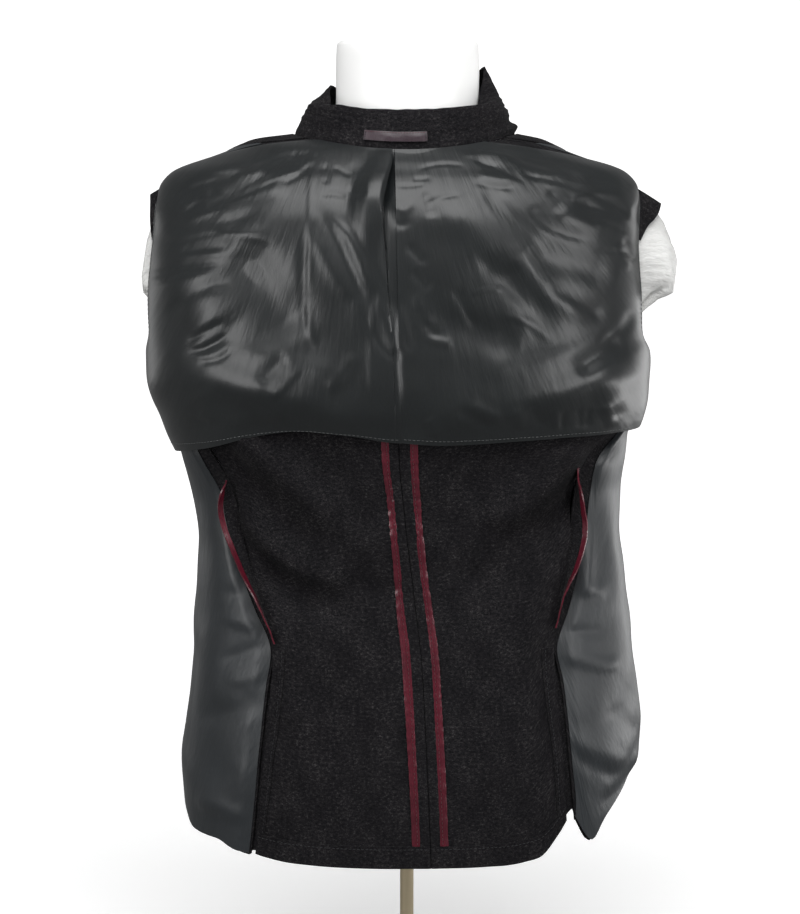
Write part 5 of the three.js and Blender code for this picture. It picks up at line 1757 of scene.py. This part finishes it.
# ------------------------------ cuts
# What shows of each cloth when it is laid flat, in metres: width, length, area, and how it is held.
# All but front_satin's were set from the finished meshes, so they don't test those meshes.
CUTS = {
    "back_cloth": (0.27, 0.76, 0.168, "draped"),
    "side_cloth": (0.19, 0.54, 0.083, "hung"),
    "side_satin": (0.18, 0.54, 0.081, "hung"),
    "side_fin": (0.010, 0.20, 0.0017, "hung"),
    "front_cloth": (0.29, 0.76, 0.165, "draped"),
    "front_satin": (0.16, 0.75, 0.090, "hung"),
    "half_lining": (0.32, 0.34, 0.098, "draped"),
    "collar_cloth": (0.46, 0.085, 0.032, "stretched"),
    "hanger_loop_satin": (0.067, 0.011, None, "stretched"),
    "sleeve_satin": (0.20, 0.55, 0.085, "hung"),
    "sleeve_head_wool_left": (0.085, 0.018, 0.0014, "hung"),
    "sleeve_head_wool_right": (0.105, 0.036, 0.0030, "hung"),
}


def declare(made, rests_on, with_pieces=()):
    both = made.name.removesuffix("_left").removesuffix("_right")
    width, length, area, held = CUTS[both if both in CUTS else made.name]
    SHEETS.append((made, (width, length), held, rests_on, area, with_pieces))


SHEETS = []
for name, side in SIDES:
    build_back(name, side)
    build_side(name, side)
    build_fin(name, side)
    build_front(name, side)
    build_back_lining(name, side)
    build_sleeve(name, side)
build_collar()
build_buttons()
build_form()
for made, flat, held, rests_on, area, with_pieces in SHEETS:
    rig.sheet(made, flat=flat, held=held, rests_on=rests_on, area=area, with_pieces=with_pieces)


# ------------------------------ studio
ROOM = 13.0  # radius of the round room
BEND = 3.0  # radius of the curve between floor and wall
ROOM_HIGH = 9.0
ROOM_STEPS = 96
# Near the stand the paper glows less, so that the stand throws a soft shadow on it.
GLOW = {"From Min": 0.3, "From Max": 3.0, "To Min": 0.35, "To Max": 1.0}


def build_stage():
    """A round white room: its floor curves up into its wall, and its roof is round."""
    lower = [
        (ROOM - BEND + BEND * math.sin(a), BEND - BEND * math.cos(a))
        for a in np.linspace(0, math.pi / 2, 10)
    ]
    upper = [
        (ROOM * math.cos(a), ROOM_HIGH + ROOM * math.sin(a)) for a in np.linspace(0, 1.56, 12)
    ]
    vertices = revolved([(0.01, 0.0), (3.0, 0.0), *lower, *upper], ROOM_STEPS)
    index = np.arange(vertices.size // 3).reshape(vertices.shape[:2])
    after = np.roll(index, -1, axis=1)
    faces = quads(index[:-1], index[1:], after[1:], after[:-1])
    mesh = bpy.data.meshes.new("room")
    mesh.from_pydata(vertices.reshape(-1, 3).tolist(), [], faces.tolist())
    mesh.polygons.foreach_set("use_smooth", [True] * len(faces))
    paper = new_material("white_paper", (0.88, 0.88, 0.88), Roughness=0.9, Specular_IOR_Level=0.1)
    surface = paper.node_tree.nodes["Principled BSDF"]
    surface.inputs["Emission Color"].default_value = (1, 1, 1, 1)
    tree = paper.node_tree
    place = put(tree, "ShaderNodeTexCoord").outputs["Object"]
    away = put(tree, "ShaderNodeVectorMath", {"Vector": place}, operation="LENGTH").outputs["Value"]
    glow = put(tree, "ShaderNodeMapRange", {"Value": away})
    for socket, value in GLOW.items():
        glow.inputs[socket].default_value = value
    tree.links.new(glow.outputs["Result"], surface.inputs["Emission Strength"])
    mesh.materials.append(paper)
    made = bpy.data.objects.new("room", mesh)
    bpy.context.scene.collection.objects.link(made)
    # The paper shows white, but it throws no light of its own on the dark cloth.
    made.visible_diffuse = False
    made.visible_glossy = False
    made.visible_shadow = False
    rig.stage(made)


def soft_light(name, place, aim, size, power):
    data = bpy.data.lights.new(name, "AREA")
    data.shape = "RECTANGLE"
    data.size, data.size_y = size
    data.energy = power
    made = bpy.data.objects.new(name, data)
    bpy.context.scene.collection.objects.link(made)
    made.location = place
    made.rotation_euler = (Vector(aim) - Vector(place)).to_track_quat("-Z", "Y").to_euler()
    made.visible_camera = False


# The photo's camera: metres, degrees, and the focal length and the picture's long side in pixels.
CAMERA_AWAY = 2.3
CAMERA_HIGH = 0.93
CAMERA_ACROSS = -0.0075
CAMERA_TILT = 7.83
LONG_SIDE = 914
FOCAL_PIXELS = 2152
SENSOR = 36.0  # millimetres


def build_camera():
    data = bpy.data.cameras.new("camera")
    data.sensor_fit = "VERTICAL"
    data.sensor_height = SENSOR
    data.lens = FOCAL_PIXELS / LONG_SIDE * SENSOR
    made = bpy.data.objects.new("camera", data)
    bpy.context.scene.collection.objects.link(made)
    made.location = (CAMERA_ACROSS, -CAMERA_AWAY, CAMERA_HIGH)
    made.rotation_euler = (math.radians(90 - CAMERA_TILT), 0, 0)
    bpy.context.scene.camera = made


# Name, place, aim and size in metres, and watts.
LIGHTS = (
    ("left_box", (-2.0, -2.0, 0.95), (0, 0, 0.78), (0.9, 1.5), 27),
    ("right_box", (2.1, -1.9, 0.95), (0, 0, 0.78), (0.9, 1.5), 25),
    ("top_box", (0.0, -1.45, 2.7), (0, 0, 0.6), (2.6, 1.6), 62),
    ("behind_left", (-2.2, 1.6, 0.6), (0, 0, 0.5), (1.0, 0.9), 4),
    ("behind_right", (2.2, 1.6, 0.5), (0, 0, 0.4), (1.6, 1.2), 18),
    ("low_right", (1.7, 0.2, 0.14), (0.2, 0, 0.4), (1.1, 0.24), 6),
)
SKY = 0.24


def build_lights():
    world = bpy.data.worlds.new("studio")
    world.use_nodes = True
    sky = world.node_tree.nodes["Background"]
    sky.inputs["Color"].default_value = (1, 1, 1, 1)
    sky.inputs["Strength"].default_value = SKY
    bpy.context.scene.world = world
    for light in LIGHTS:
        soft_light(*light)
    bpy.context.scene.view_settings.view_transform = "Standard"


build_stage()
build_camera()
build_lights()

# The CAD model's box, and the box of what shows now.
with open("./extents.json", "w") as out:
    json.dump({
        "cad": [list(corner) for corner in cad_box],
        "visual": [list(corner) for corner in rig.bounds()],
    }, out)
